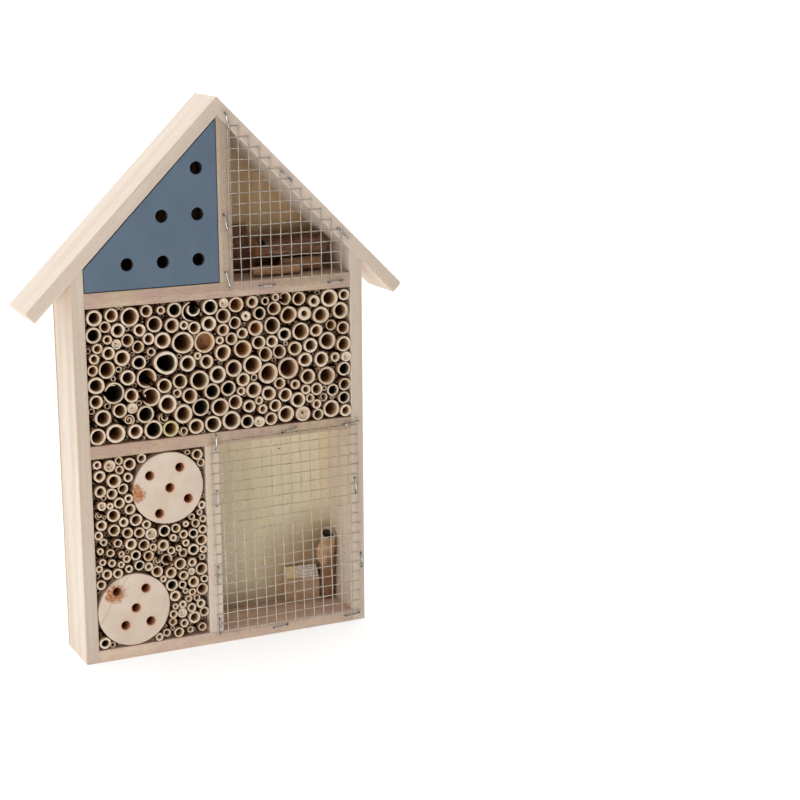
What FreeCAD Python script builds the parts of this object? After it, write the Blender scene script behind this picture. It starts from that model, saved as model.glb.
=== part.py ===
"""Insect hotel: a house-shaped wooden frame filled with hollow reeds, drilled log discs and wood pieces.

Millimetres. +Z is up, -Y is the front, and the origin is the bottom centre of the whole object.
"""
import FreeCAD, Part
import math
import os
import random
import re

import Sketcher

Vector = FreeCAD.Vector
Rotation = FreeCAD.Rotation
Placement = FreeCAD.Placement

AXIS_X = Vector(1, 0, 0)
AXIS_Y = Vector(0, 1, 0)
AXIS_Z = Vector(0, 0, 1)
SQUARE_PITCH = 45  # the roof boards meet at a right angle
ROOT_TWO = math.sqrt(2)

DIMENSIONS = [
    ("body_width", 200.0, "outside width over the two side panels"),
    ("board_depth", 39.5, "front to back of every frame board"),
    ("side_thickness", 8.6, "side panels"),
    ("side_height", 252.2, "outer edge of a side panel, under the roof"),
    ("bottom_thickness", 8.1, "bottom board"),
    ("middle_shelf_z", 137.7, "underside of the middle shelf"),
    ("middle_shelf_thickness", 8.3, "middle shelf"),
    ("upper_shelf_z", 235.2, "underside of the upper shelf"),
    ("upper_shelf_thickness", 9.9, "upper shelf"),
    ("lower_divider_x", -14.3, "left face of the lower divider"),
    ("lower_divider_thickness", 9.7, "lower divider"),
    ("roof_divider_x", -0.8, "left face of the roof divider"),
    ("roof_divider_thickness", 9.4, "roof divider"),
    ("roof_thickness", 8.7, "roof boards"),
    ("eave_x", 123.35, "lower corner of a roof board's eave, from the centre line"),
    ("back_thickness", 3.0, "plywood back panel"),
    ("back_overlap", 4.0, "how far the back panel laps onto the roof boards"),
    ("blue_thickness", 5.0, "painted front panel of the left roof room"),
    ("blue_gap", 0.5, "gap round the painted panel"),
    ("blue_hole", 8.6, "nesting holes in the painted panel"),
    ("disc_length", 38.0, "log discs, front to back"),
    ("disc_hole", 6.5, "drilled holes in the log discs"),
    ("disc_hole_depth", 34.0, "depth of those holes"),
    ("upper_disc_diameter", 48.8, "upper log disc"),
    ("lower_disc_diameter", 49.6, "lower log disc"),
    ("mesh_pitch", 7.0, "welded mesh, centre to centre of its wires"),
    ("roof_mesh_pitch", 7.1, "the same mesh where it is stretched a little"),
    ("mesh_wire", 0.65, "diameter of the mesh wire"),
    ("staple_crown", 10.8, "outside width of a staple"),
    ("staple_wire", 0.9, "staple wire"),
    ("staple_leg", 7.0, "staple legs, with the crown"),
    ("brad_length", 16.0, "brads that hold the boards"),
    ("brad_shank", 1.4, "diameter of a brad"),
    ("brad_head", 2.4, "diameter of its head"),
    ("brad_head_height", 0.8, "height of its head"),
    ("brad_set", 1.0, "how far the heads are set below the surface of a board"),
    ("hanger_height", 42.0, "hanger plate"),
    ("hanger_width", 14.0, "hanger plate"),
    ("hanger_thickness", 1.2, "hanger plate"),
    ("hanger_hole", 8.0, "hole for a wall hook"),
    ("hanger_z", 325.0, "height of that hole"),
    ("screw_spacing", 32.0, "centre to centre of the two hanger screws"),
    ("screw_shank", 3.0, "hanger screws"),
    ("screw_length", 14.0, "hanger screws, under the head"),
    ("screw_head", 6.0, "hanger screws"),
    ("screw_head_height", 1.0, "hanger screws"),
]

# Reeds that set the pattern: x from the centre line, z above the base, outer diameter.
MIDDLE_LARGE_REEDS = [
    (-86, 152, 11), (-74, 153, 12.5), (-61, 153, 10), (-49, 153, 12.5), (-37, 152, 11),
    (-20, 152, 10.5), (-8, 152, 11.5), (5, 153, 13), (44, 153, 11.5), (56, 152, 10.5), (77, 153, 12),
    (-82, 164, 11), (-54, 164, 11.5), (-28, 161, 13), (-16, 164, 12), (-3, 163, 12), (8, 165, 10),
    (52, 162, 10.5), (32, 168, 10.5), (21, 172, 11), (-39, 169, 12.5), (-23, 173, 10.5), (-8, 174, 11),
    (3, 175, 10.5), (-50, 176, 12), (-41, 181, 10), (-75, 180, 14), (-86, 185, 11.5), (60, 177, 10.5),
    (74, 176, 12.5), (46, 184, 15), (32, 182, 14), (-30, 183, 10), (-17, 182, 13), (-4, 185, 11.5),
    (7, 188, 11.5), (20, 189, 13), (-65, 189, 10), (-52, 186, 13), (58, 189, 10), (70, 188, 10.5),
    (-78, 195, 11.5), (-39, 196, 16.5), (-24, 194, 11), (0, 199, 11.5), (14, 200, 12.5), (30, 195, 10),
    (51, 197, 10), (62, 198, 10), (75, 200, 12.5), (86, 197, 10.5), (-68, 202, 10.5), (-27, 208, 15),
    (-12, 207, 14.5), (-41, 211, 11), (23, 213, 10.5), (35, 214, 11.5), (56, 208, 12), (47, 220, 12),
    (70, 218, 12), (84, 220, 11.5), (-86, 218, 10.5), (-46, 222, 10.5), (-34, 220, 10), (-9, 219, 10),
    (1, 223, 10), (-85, 229, 10.5), (-62, 228, 12.5), (-32, 230, 10), (-20, 227, 13), (-8, 230, 10.5),
    (10, 230, 10.5), (76, 229, 12),
]
MIDDLE_SMALL_REEDS = [
    (16, 151, 9.5), (18, 161, 9), (33, 151, 9), (36, 160, 8.5), (87, 151, 8.5), (86, 160, 8.5),
    (-71, 168, 9.5), (44, 166, 9.5), (66, 168, 8.5), (78, 166, 8.5), (87, 169, 9), (-86, 175, 9),
    (-63, 177, 9.5), (14, 180, 9.5), (86, 180, 9.5), (-57, 198, 9.5), (-11, 194, 9.5), (40, 196, 9.5),
    (-77, 206, 8.5), (-57, 208, 8.5), (6, 208, 8.5), (25, 204, 9.5), (35, 203, 8.5), (44, 207, 9.5),
    (66, 208, 9), (86, 208, 9), (-70, 220, 9.5), (-64, 213, 8.5), (-56, 219, 8.5), (-19, 218, 8.5),
    (1, 214, 8.5), (9, 218, 8.5), (58, 220, 9.5), (-74, 230, 9), (-51, 231, 8.5), (21, 231, 8.5),
    (26, 223, 9), (37, 225, 9.5), (45, 231, 8.5), (55, 230, 9.5),
]
LOWER_LARGE_REEDS = [
    (-87, 13, 8), (-36, 12, 7), (-25, 21, 8.5), (-33, 25, 7), (-38, 38, 7.5), (-19, 40, 8.5),
    (-88, 53, 7), (-40, 46, 8.5), (-25, 46, 8), (-40, 54, 8), (-19, 54, 8.5), (-50, 57, 8),
    (-84, 60, 7), (-34, 60, 8), (-43, 64, 7.5), (-62, 63, 7), (-24, 68, 8), (-55, 68, 7.5),
    (-64, 70, 7), (-45, 74, 8), (-58, 76, 8), (-18, 74, 8), (-67, 78, 8), (-53, 83, 8), (-44, 84, 8),
    (-61, 85, 7.5), (-69, 86, 7.5), (-78, 89, 8), (-86, 93, 7.5), (-63, 94, 8.5), (-78, 99, 9),
    (-67, 102, 7.5), (-74, 107, 7.5), (-86, 116, 8), (-79, 114, 7.5), (-71, 116, 7.5), (-77, 122, 9.5),
    (-86, 126, 8), (-79, 132, 8), (-66, 132, 8.5), (-20, 133, 7.5),
]

# Log discs: x and z of the centre, then the five holes from that centre.
UPPER_DISC = (-40.3, 112.6)
UPPER_DISC_HOLES = [(-12.4, 9.8), (8.3, 13.1), (1.1, 0.1), (13.5, -8.8), (-6.6, -16.5)]
LOWER_DISC = (-66.4, 33.1)
LOWER_DISC_HOLES = [(-11.1, 13.7), (8.3, 13.5), (1.3, 0.9), (-6.3, -10.1), (11.0, -9.7)]

# Nesting holes of the painted panel: x and z.
BLUE_HOLES = [(-62.6, 261.5), (-38.8, 261.5), (-14.8, 261.5), (-38.8, 290.7), (-14.8, 290.7), (-14.8, 320.0)]

# Staples: x and z of the middle of the crown, and its slope in degrees.
ROOF_STAPLES = [
    (6.3, 348.9, -77), (3.6, 284.2, -78), (4.1, 246.9, -75), (46.5, 311.6, -43),
    (86.1, 271.7, -44), (31.7, 241.0, -2), (80.5, 240.0, 4),
]
LOWER_STAPLES = [
    (-7.0, 139.7, -92), (-7.0, 101.2, -91), (-7.8, 48.7, -92), (-7.6, 12.1, -88), (36.4, 5.0, 6),
    (90.2, 5.0, 6), (93.2, 97.7, -85), (97.2, 43.6, -86), (45.2, 142.2, 15), (90.8, 141.9, 6),
]

MESH_TILT = -0.7  # degrees; the lower mesh leans a little to the left
LOWER_MESH_CORNER = (-8.6, 4.6)
LOWER_MESH_WIRES = (16, 20)  # upright, level
LOWER_MESH_FIRST_LEVEL = 1.6
LOWER_MESH_HEIGHT = 140.0
LOWER_MESH_STUB = 1.2  # how far the level wires stand out past the outer uprights
ROOF_MESH_FIRST = (6.4, 252.9)
ROOF_MESH_WIRES = (12, 14)
ROOF_MESH_BOTTOM_Z = 237.6
ROOF_MESH_EDGE_INSET = 3.2  # from the roof's upper face to the slanting cut edge

MIDDLE_BUNDLES = 14
LOWER_BUNDLES = 10
REED_GAP = 0.08  # between neighbours
REED_BACK_GAP = 0.2
REED_FRONTS = (0.6, -0.3, 0.1, -0.7, 0.4)  # how far the bundles are pushed in, in turn
MESH_GAP = 0.01  # between crossing wires, and between the wires and what they lie on

doc = FreeCAD.newDocument("insect_hotel")
sheet = doc.addObject("Spreadsheet::Sheet", "Dimensions")
aliases = set()


def add_dimension(row, alias, value, meaning):
    sheet.set("A%d" % row, meaning)
    sheet.set("B%d" % row, str(value))
    sheet.setAlias("B%d" % row, alias)
    aliases.add(alias)


for row, (alias, value, meaning) in enumerate(DIMENSIONS, 1):
    add_dimension(row, alias, value, meaning)
given = {alias: value for alias, value, meaning in DIMENSIONS}
front_stack = 2 * given["mesh_wire"] + given["staple_wire"] + 3 * MESH_GAP
rear_stack = given["back_thickness"] + given["hanger_thickness"] + given["screw_head_height"]
front_y = front_stack - (front_stack + given["board_depth"] + rear_stack) / 2
add_dimension(len(DIMENSIONS) + 1, "front_y", round(front_y, 3), "front face of the frame")
doc.recompute()
size = {alias: float(sheet.get(alias)) for alias in aliases}

FRONT = size["front_y"]
DEPTH = size["board_depth"]
HALF_WIDTH = size["body_width"] / 2
ROOM_HALF = HALF_WIDTH - size["side_thickness"]
APEX_Z = size["side_height"] + HALF_WIDTH  # where the undersides of the roof boards meet
BACK_FACE = FRONT + DEPTH + size["back_thickness"]
UPPER_FLOOR = size["upper_shelf_z"] + size["upper_shelf_thickness"]
MIDDLE_FLOOR = size["middle_shelf_z"] + size["middle_shelf_thickness"]
DIVIDER_MID = size["lower_divider_x"] + size["lower_divider_thickness"] / 2
ROOF_DIVIDER_MID = size["roof_divider_x"] + size["roof_divider_thickness"] / 2

subparts = []


def bind(thing, prop, formula):
    """Ties a property to the sheet. Words in the formula are aliases of its cells."""
    def cell(found):
        word = found.group(0)
        return "Dimensions." + word if word in aliases else word
    thing.setExpression(prop, re.sub(r"[a-z_]+", cell, formula))


def keep(thing, name):
    """Names a finished sub-part and lists it for writing."""
    thing.Label = name
    subparts.append(thing)
    return thing


def block(name, sizes, corner, turn=None):
    """A rectangular board: sizes and corner are formulas for X, Y and Z."""
    box = doc.addObject("Part::Box", name + "_blank")
    if turn is not None:
        box.Placement = Placement(Vector(), Rotation(AXIS_Y, turn))
    for prop, formula in zip(("Length", "Width", "Height"), sizes):
        bind(box, prop, formula)
    for axis, formula in zip("xyz", corner):
        bind(box, "Placement.Base." + axis, formula)
    return box


def round_bar(name, diameter, length, start, direction):
    """A cylinder from start along direction, with its diameter and length as formulas."""
    bar = doc.addObject("Part::Cylinder", name)
    bind(bar, "Radius", "(%s) / 2" % diameter)
    bind(bar, "Height", length)
    bar.Placement = Placement(start, Rotation(AXIS_Z, direction))
    return bar


def on_plane(body, name, role):
    """An empty sketch on one of the body's own planes."""
    sketch = body.newObject("Sketcher::SketchObject", name)
    plane = [each for each in body.Origin.OriginFeatures if each.Role == role][0]
    sketch.AttachmentSupport = (plane, [""])
    sketch.MapMode = "FlatFace"
    return sketch


def place_point(sketch, line, formula_across, formula_up):
    """Fixes the start of a line from the sketch's origin."""
    for kind, axis, formula in (("DistanceX", -2, formula_across), ("DistanceY", -1, formula_up)):
        if formula == "0":
            sketch.addConstraint(Sketcher.Constraint("PointOnObject", line, 1, axis))
            continue
        index = sketch.addConstraint(Sketcher.Constraint(kind, -1, 1, line, 1, 1.0))
        bind(sketch, "Constraints[%d]" % index, formula)


def padded_outline(name, corners, depth, role="XZ_Plane"):
    """A body whose outline has the given corners, as formulas, padded towards +Y or +X."""
    body = doc.addObject("PartDesign::Body", name + "_body")
    sketch = on_plane(body, name + "_outline", role)
    count = len(corners)
    # The corners start evenly round a circle, and the constraints then take each one to its place.
    starts = []
    for index in range(count):
        angle = 2 * math.pi * index / count
        starts.append(Vector(HALF_WIDTH * math.cos(angle), HALF_WIDTH * math.sin(angle), 0))
    for index in range(count):
        sketch.addGeometry(Part.LineSegment(starts[index], starts[(index + 1) % count]), False)
    for index in range(count):
        following = (index + 1) % count
        sketch.addConstraint(Sketcher.Constraint("Coincident", index, 2, following, 1))
    for index, (formula_x, formula_z) in enumerate(corners):
        place_point(sketch, index, formula_x, formula_z)
    pad = body.newObject("PartDesign::Pad", name + "_pad")
    pad.Profile = sketch
    pad.Reversed = role == "XZ_Plane"
    bind(pad, "Length", depth)
    bind(body, "Placement.Base.y", "front_y")
    doc.recompute()
    return body


def pocket_holes(body, name, centres, diameter, depth=None):
    """Drills round holes into a body from its front face, right through if no depth is given."""
    sketch = on_plane(body, name + "_holes", "XZ_Plane")
    for index, (x, z) in enumerate(centres):
        circle = Part.Circle(Vector(x, z, 0), AXIS_Z, size[diameter] / 2)
        sketch.addGeometry(circle, False)
        sketch.addConstraint(Sketcher.Constraint("DistanceX", -1, 1, index, 3, x))
        sketch.addConstraint(Sketcher.Constraint("DistanceY", -1, 1, index, 3, z))
        round_size = sketch.addConstraint(Sketcher.Constraint("Diameter", index, size[diameter]))
        bind(sketch, "Constraints[%d]" % round_size, diameter)
    pocket = body.newObject("PartDesign::Pocket", name + "_pocket")
    pocket.Profile = sketch
    if depth is None:
        pocket.Type = "ThroughAll"
    else:
        bind(pocket, "Length", depth)
    before = body.Shape.Volume
    doc.recompute()
    if body.Shape.Volume >= before:
        raise ValueError("the holes of %s cut nothing" % name)


def drilled(blank, name, fasteners):
    """The finished board: its blank with the fasteners' own holes in it."""
    cut = doc.addObject("Part::Cut", name + "_drilled")
    cut.Base = blank
    tool = doc.addObject("Part::Compound", name + "_hole_tools")
    tool.Links = fasteners
    cut.Tool = tool
    return keep(cut, name)


def copies(name, prototype, placements):
    """Several equal pieces as one group of separate solids."""
    solids = []
    for placement in placements:
        solid = prototype.Shape.copy()
        solid.Placement = placement.multiply(solid.Placement)
        solids.append(solid)
    group = doc.addObject("Part::Feature", name + "_group")
    group.Shape = Part.makeCompound(solids)
    return group


# ---- fasteners ----

def make_brad():
    """One brad with its head's outer face at the origin, driven along +Z."""
    shank = round_bar("brad_shank_bar", "brad_shank", "brad_length", Vector(), AXIS_Z)
    head = round_bar("brad_head_bar", "brad_head", "brad_head_height", Vector(), AXIS_Z)
    brad = doc.addObject("Part::Fuse", "brad")
    brad.Base = shank
    brad.Tool = head
    return brad


def make_staple():
    """One staple with its crown along X, centred on the origin, and its legs along +Y."""
    crown = block("staple_crown", ("staple_crown", "staple_wire", "staple_wire"),
                  ("-staple_crown / 2", "-staple_wire", "-staple_wire / 2"))
    legs = []
    for side, corner_x in (("left", "-staple_crown / 2"), ("right", "staple_crown / 2 - staple_wire")):
        legs.append(block("staple_leg_" + side, ("staple_wire", "staple_leg", "staple_wire"),
                          (corner_x, "-staple_wire", "-staple_wire / 2")))
    staple = doc.addObject("Part::MultiFuse", "staple")
    staple.Shapes = [crown] + legs
    return staple


def make_screw():
    """One hanger screw, with its head outside the origin plane and its shank along +Z."""
    shank = round_bar("screw_shank_bar", "screw_shank", "screw_length", Vector(), AXIS_Z)
    head = round_bar("screw_head_bar", "screw_head", "screw_head_height",
                     Vector(0, 0, -size["screw_head_height"]), AXIS_Z)
    screw = doc.addObject("Part::Fuse", "screw")
    screw.Base = shank
    screw.Tool = head
    return screw


def driven(x, y, z, direction, depth=0.0):
    """Where a brad or screw sits when it goes in at a point, along a direction, with its head at a depth."""
    head = Vector(x, FRONT + y, z) + direction * depth
    return Placement(head, Rotation(AXIS_Z, direction))


NEAR_AND_FAR = (DEPTH * 0.25, DEPTH * 0.75)
BRAD_SET = size["brad_set"]


def side_panel_places():
    heights = (
        size["bottom_thickness"] / 2,
        size["middle_shelf_z"] + size["middle_shelf_thickness"] / 2,
        size["upper_shelf_z"] + size["upper_shelf_thickness"] / 2,
    )
    return [
        driven(side * HALF_WIDTH, y, z, Vector(-side, 0, 0), BRAD_SET)
        for side in (-1, 1) for z in heights for y in NEAR_AND_FAR
    ]


def divider_places():
    places = []
    for y in NEAR_AND_FAR:
        places.append(driven(DIVIDER_MID, y, 0, AXIS_Z, BRAD_SET))
        places.append(driven(DIVIDER_MID, y, MIDDLE_FLOOR, -AXIS_Z, BRAD_SET))
        places.append(driven(ROOF_DIVIDER_MID, y, size["upper_shelf_z"], AXIS_Z, BRAD_SET))
    return places


def through_roof(x, y):
    """A brad driven square through a roof board, to cross its underside at x."""
    side = -1 if x < 0 else 1
    outward = Vector(side, 0, 1).normalize()
    head = Vector(x, 0, APEX_Z - abs(x)) + outward * size["roof_thickness"]
    return driven(head.x, y, head.z, -outward, BRAD_SET)


def roof_places():
    places = []
    panel_x = HALF_WIDTH - 2.0
    divider_x = ROOF_DIVIDER_MID + 2.0
    for y in NEAR_AND_FAR:
        places.append(through_roof(-panel_x, y))
        places.append(through_roof(panel_x, y))
        places.append(through_roof(divider_x, y))
    # Through the left board into the end of the right one, at the ridge.
    step = size["roof_thickness"] / ROOT_TWO
    inward = Vector(1, 0, -1).normalize()
    for share in (0.17, 0.5, 0.83):
        places.append(driven(-step / 2, DEPTH * share, APEX_Z + 1.5 * step, inward, BRAD_SET))
    return places


def blue_panel_places():
    return [through_roof(x, size["blue_thickness"] / 2) for x in (-72, -50, -30)]


def back_panel_places():
    side_x = HALF_WIDTH - size["side_thickness"] / 2
    shelf_z = size["middle_shelf_z"] + size["middle_shelf_thickness"] / 2
    upper_z = size["upper_shelf_z"] + size["upper_shelf_thickness"] / 2
    spots = [(side * side_x, z) for side in (-1, 1) for z in (22, 66, 110, 160, 205)]
    spots += [(x, size["bottom_thickness"] / 2) for x in (-55, 20, 60)]
    spots += [(x, shelf_z) for x in (-50, 45)]
    spots += [(x, upper_z) for x in (-50, 50)]
    lap = size["back_overlap"] / ROOT_TWO
    spots += [(x, APEX_Z - abs(x) + lap) for x in (-78, -30, 30, 78)]
    back = DEPTH + size["back_thickness"]
    return [driven(x, back, z, -AXIS_Y) for x, z in spots]


def staple_places(spots):
    """Staples that lie on the outer wires of the mesh."""
    crown_y = FRONT - 2 * size["mesh_wire"] - 3 * MESH_GAP
    return [Placement(Vector(x, crown_y, z), Rotation(AXIS_Y, -slope)) for x, z, slope in spots]


def screw_places():
    back = DEPTH + size["back_thickness"] + size["hanger_thickness"]
    half = size["screw_spacing"] / 2
    heights = (size["hanger_z"] - half, size["hanger_z"] + half)
    return [driven(ROOF_DIVIDER_MID, back, z, -AXIS_Y) for z in heights]


# ---- frame ----

def make_frame(side_brads, divider_brads, roof_brads, blue_brads, back_brads, screws, roof_st, low_st):
    panel_top = "side_height + side_thickness"
    half = "body_width / 2"
    inner = "(%s - side_thickness)" % half
    left_panel = padded_outline("left_side_panel", [
        ("-" + half, "0"), ("-" + inner, "0"), ("-" + inner, panel_top), ("-" + half, "side_height")],
        "board_depth")
    right_panel = padded_outline("right_side_panel", [
        (inner, "0"), (half, "0"), (half, "side_height"), (inner, panel_top)], "board_depth")
    drilled(left_panel, "left_side_panel", [side_brads, roof_brads, back_brads])
    drilled(right_panel, "right_side_panel", [side_brads, roof_brads, back_brads, low_st])

    between = "body_width - 2 * side_thickness"
    corner_x = "-" + inner
    bottom = block("bottom_board", (between, "board_depth", "bottom_thickness"), (corner_x, "front_y", "0"))
    middle = block("middle_shelf", (between, "board_depth", "middle_shelf_thickness"),
                   (corner_x, "front_y", "middle_shelf_z"))
    upper = block("upper_shelf", (between, "board_depth", "upper_shelf_thickness"),
                  (corner_x, "front_y", "upper_shelf_z"))
    drilled(bottom, "bottom_board", [side_brads, divider_brads, back_brads, low_st])
    drilled(middle, "middle_shelf", [side_brads, divider_brads, back_brads, low_st])
    drilled(upper, "upper_shelf", [side_brads, divider_brads, back_brads, roof_st])

    lower = block("lower_divider",
                  ("lower_divider_thickness", "board_depth", "middle_shelf_z - bottom_thickness"),
                  ("lower_divider_x", "front_y", "bottom_thickness"))
    drilled(lower, "lower_divider", [divider_brads, low_st])
    apex = "side_height + body_width / 2"
    floor = "upper_shelf_z + upper_shelf_thickness"
    right_face = "roof_divider_x + roof_divider_thickness"
    roof_divider = padded_outline("roof_divider", [
        ("roof_divider_x", floor), (right_face, floor), (right_face, "%s - (%s)" % (apex, right_face)),
        ("0", apex), ("roof_divider_x", apex + " + roof_divider_x")], "board_depth")
    drilled(roof_divider, "roof_divider", [divider_brads, roof_brads, roof_st, screws])

    slope = "eave_x * sqrt(2)"
    left_roof = block("left_roof_board", (slope + " + roof_thickness", "board_depth", "roof_thickness"),
                      ("-eave_x", "front_y", apex + " - eave_x"), -SQUARE_PITCH)
    right_roof = block("right_roof_board", (slope, "board_depth", "roof_thickness"),
                       ("0", "front_y", apex), SQUARE_PITCH)
    drilled(left_roof, "left_roof_board", [roof_brads, blue_brads, back_brads])
    drilled(right_roof, "right_roof_board", [roof_brads, back_brads, roof_st])


def make_back_panel(back_brads, screws):
    half = "body_width / 2"
    eave = "side_height + back_overlap * sqrt(2)"
    panel = padded_outline("back_panel", [
        ("-" + half, "0"), (half, "0"), (half, eave), ("0", "%s + %s" % (eave, half)), ("-" + half, eave)],
        "back_thickness")
    bind(panel, "Placement.Base.y", "front_y + board_depth")
    relief = round_bar("hanger_relief", "hanger_hole + 3", "back_thickness",
                       Vector(ROOF_DIVIDER_MID, BACK_FACE, size["hanger_z"]), -AXIS_Y)
    drilled(panel, "back_panel", [back_brads, screws, relief])


def make_hanger(screws):
    plate = block("hanger_plate", ("hanger_width", "hanger_thickness", "hanger_height"),
                  ("roof_divider_x + roof_divider_thickness / 2 - hanger_width / 2",
                   "front_y + board_depth + back_thickness", "hanger_z - hanger_height / 2"))
    rounded = doc.addObject("Part::Fillet", "hanger_plate_rounded")
    rounded.Base = plate
    doc.recompute()
    edges = []
    for number, edge in enumerate(plate.Shape.Edges, 1):
        if abs(abs((edge.Vertexes[0].Point - edge.Vertexes[1].Point).y) - size["hanger_thickness"]) < 0.01:
            edges.append((number, 4.0, 4.0))
    rounded.Edges = edges
    hook_hole = round_bar("hook_hole", "hanger_hole", "hanger_thickness",
                          Vector(ROOF_DIVIDER_MID, BACK_FACE, size["hanger_z"]), AXIS_Y)
    drilled(rounded, "hanger_plate", [screws, hook_hole])


# ---- panel and discs ----

def make_blue_panel(blue_brads):
    left = "-(body_width / 2 - side_thickness - blue_gap)"
    right = "roof_divider_x - blue_gap"
    low = "upper_shelf_z + upper_shelf_thickness + blue_gap"
    under_roof = "side_height + body_width / 2 - blue_gap * sqrt(2)"
    panel = padded_outline("blue_front_panel", [
        (left, low), (right, low), (right, "%s + (%s)" % (under_roof, right)),
        (left, "%s + (%s)" % (under_roof, left))], "blue_thickness")
    pocket_holes(panel, "blue_front_panel", BLUE_HOLES, "blue_hole")
    drilled(panel, "blue_front_panel", [blue_brads])


def make_disc(name, centre, holes, diameter):
    body = doc.addObject("PartDesign::Body", name + "_body")
    sketch = on_plane(body, name + "_outline", "XZ_Plane")
    sketch.addGeometry(Part.Circle(Vector(centre[0], centre[1], 0), AXIS_Z, size[diameter] / 2), False)
    sketch.addConstraint(Sketcher.Constraint("DistanceX", -1, 1, 0, 3, centre[0]))
    sketch.addConstraint(Sketcher.Constraint("DistanceY", -1, 1, 0, 3, centre[1]))
    round_size = sketch.addConstraint(Sketcher.Constraint("Diameter", 0, size[diameter]))
    bind(sketch, "Constraints[%d]" % round_size, diameter)
    pad = body.newObject("PartDesign::Pad", name + "_pad")
    pad.Profile = sketch
    pad.Reversed = True
    bind(pad, "Length", "disc_length")
    bind(body, "Placement.Base.y", "front_y")
    doc.recompute()
    centres = [(centre[0] + x, centre[1] + z) for x, z in holes]
    pocket_holes(body, name, centres, "disc_hole", "disc_hole_depth")
    keep(body, name)


# ---- reeds ----

class Room:
    """A rectangular room seen from the front, with round things already in it."""

    def __init__(self, left, right, floor, ceiling, fixed):
        self.left = left
        self.right = right
        self.floor = floor
        self.ceiling = ceiling
        self.fixed = fixed

    def to_walls(self, x, z):
        return min(x - self.left, self.right - x, z - self.floor, self.ceiling - z)

    def clamp(self, reed):
        x, z, radius = reed
        x = min(max(x, self.left + radius), self.right - radius)
        z = min(max(z, self.floor + radius), self.ceiling - radius)
        return [x, z, radius]


def settle(room, reeds, rounds):
    """Pushes overlapping reeds apart, a little at a time, and keeps them inside the room."""
    for _ in range(rounds):
        for index, reed in enumerate(reeds):
            for x, z, radius in room.fixed:
                push_apart(reed, [x, z, radius], 0.0)
            for other in reeds[index + 1:]:
                push_apart(reed, other, 0.5)
        for index, reed in enumerate(reeds):
            reeds[index] = room.clamp(reed)


def push_apart(reed, other, share):
    """Moves a reed off another one. The other takes the given share of the movement."""
    across = reed[0] - other[0]
    up = reed[1] - other[1]
    apart = math.hypot(across, up)
    overlap = reed[2] + other[2] + REED_GAP - apart
    if overlap <= 0 or apart == 0:
        return
    across, up = across / apart * overlap, up / apart * overlap
    reed[0] += across * (1 - share)
    reed[1] += up * (1 - share)
    other[0] -= across * share
    other[1] -= up * share


def trim_overlaps(room, reeds):
    """Thins whichever reeds still overlap after settling."""
    for index, reed in enumerate(reeds):
        reed[2] = min(reed[2], room.to_walls(reed[0], reed[1]) - REED_GAP / 2)
        for x, z, radius in room.fixed:
            reed[2] = min(reed[2], math.hypot(reed[0] - x, reed[1] - z) - radius - REED_GAP)
        for other in reeds[index + 1:]:
            apart = math.hypot(reed[0] - other[0], reed[1] - other[1])
            overlap = reed[2] + other[2] + REED_GAP - apart
            if overlap > 0:
                reed[2] -= overlap / 2
                other[2] -= overlap / 2


def fill_gaps(room, reeds, widest, narrowest, chance):
    """Puts a reed in the widest free gap, again and again, until no gap takes the narrowest one."""
    step = 1.0
    points = []
    for i in range(int((room.right - room.left) / step)):
        for j in range(int((room.ceiling - room.floor) / step)):
            x = room.left + (i + 0.5) * step
            z = room.floor + (j + 0.5) * step
            free = room.to_walls(x, z)
            for other_x, other_z, radius in room.fixed + reeds:
                free = min(free, math.hypot(x - other_x, z - other_z) - radius)
            if free > 0:
                points.append([free, x, z])
    while points:
        free, x, z = max(points)
        x, z, free = widen(room, reeds, x, z, free)
        if free - REED_GAP < narrowest:
            return
        radius = min(free - REED_GAP, chance.uniform(narrowest, widest) if free > widest else widest)
        reeds.append([x, z, radius])
        for point in points:
            point[0] = min(point[0], math.hypot(point[1] - x, point[2] - z) - radius)
        points = [point for point in points if point[0] > 0]


def widen(room, reeds, x, z, free):
    """Moves a point to where the gap round it is widest."""
    step = 0.5
    near = [other for other in room.fixed + reeds if math.hypot(other[0] - x, other[1] - z) < other[2] + 14]
    while step > 0.02:
        better = None
        for angle in range(0, 360, 45):
            new_x = x + step * math.cos(math.radians(angle))
            new_z = z + step * math.sin(math.radians(angle))
            room_here = room.to_walls(new_x, new_z)
            for other_x, other_z, radius in near:
                room_here = min(room_here, math.hypot(new_x - other_x, new_z - other_z) - radius)
            if room_here > free:
                better = (new_x, new_z, room_here)
                free = room_here
        if better is None:
            step /= 2
        else:
            x, z, free = better
    return x, z, free


def packed_reeds(room, large, widest, narrowest, seed):
    """All the reeds of a room, as x, z and outer radius."""
    chance = random.Random(seed)
    reeds = [[float(x), float(z), diameter / 2] for x, z, diameter in large]
    settle(room, reeds, 30)
    fill_gaps(room, reeds, widest, narrowest, chance)
    settle(room, reeds, 12)
    fill_gaps(room, reeds, widest, narrowest, chance)
    settle(room, reeds, 4)
    trim_overlaps(room, reeds)
    return reeds


def reed_rings(sketch, reeds, chance):
    """Draws two circles for each reed. Narrow reeds have a thick wall for their size."""
    circles = []
    rules = []
    for x, z, radius in reeds:
        wall = 0.6 + 0.11 * radius + chance.uniform(-0.2, 0.3)
        for ring in (radius, radius - wall):
            index = len(circles)
            circles.append(Part.Circle(Vector(x, z, 0), AXIS_Z, ring))
            rules.append(Sketcher.Constraint("DistanceX", -1, 1, index, 3, x))
            rules.append(Sketcher.Constraint("DistanceY", -1, 1, index, 3, z))
            rules.append(Sketcher.Constraint("Radius", index, ring))
    sketch.addGeometry(circles, False)
    sketch.addConstraint(rules)


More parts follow.
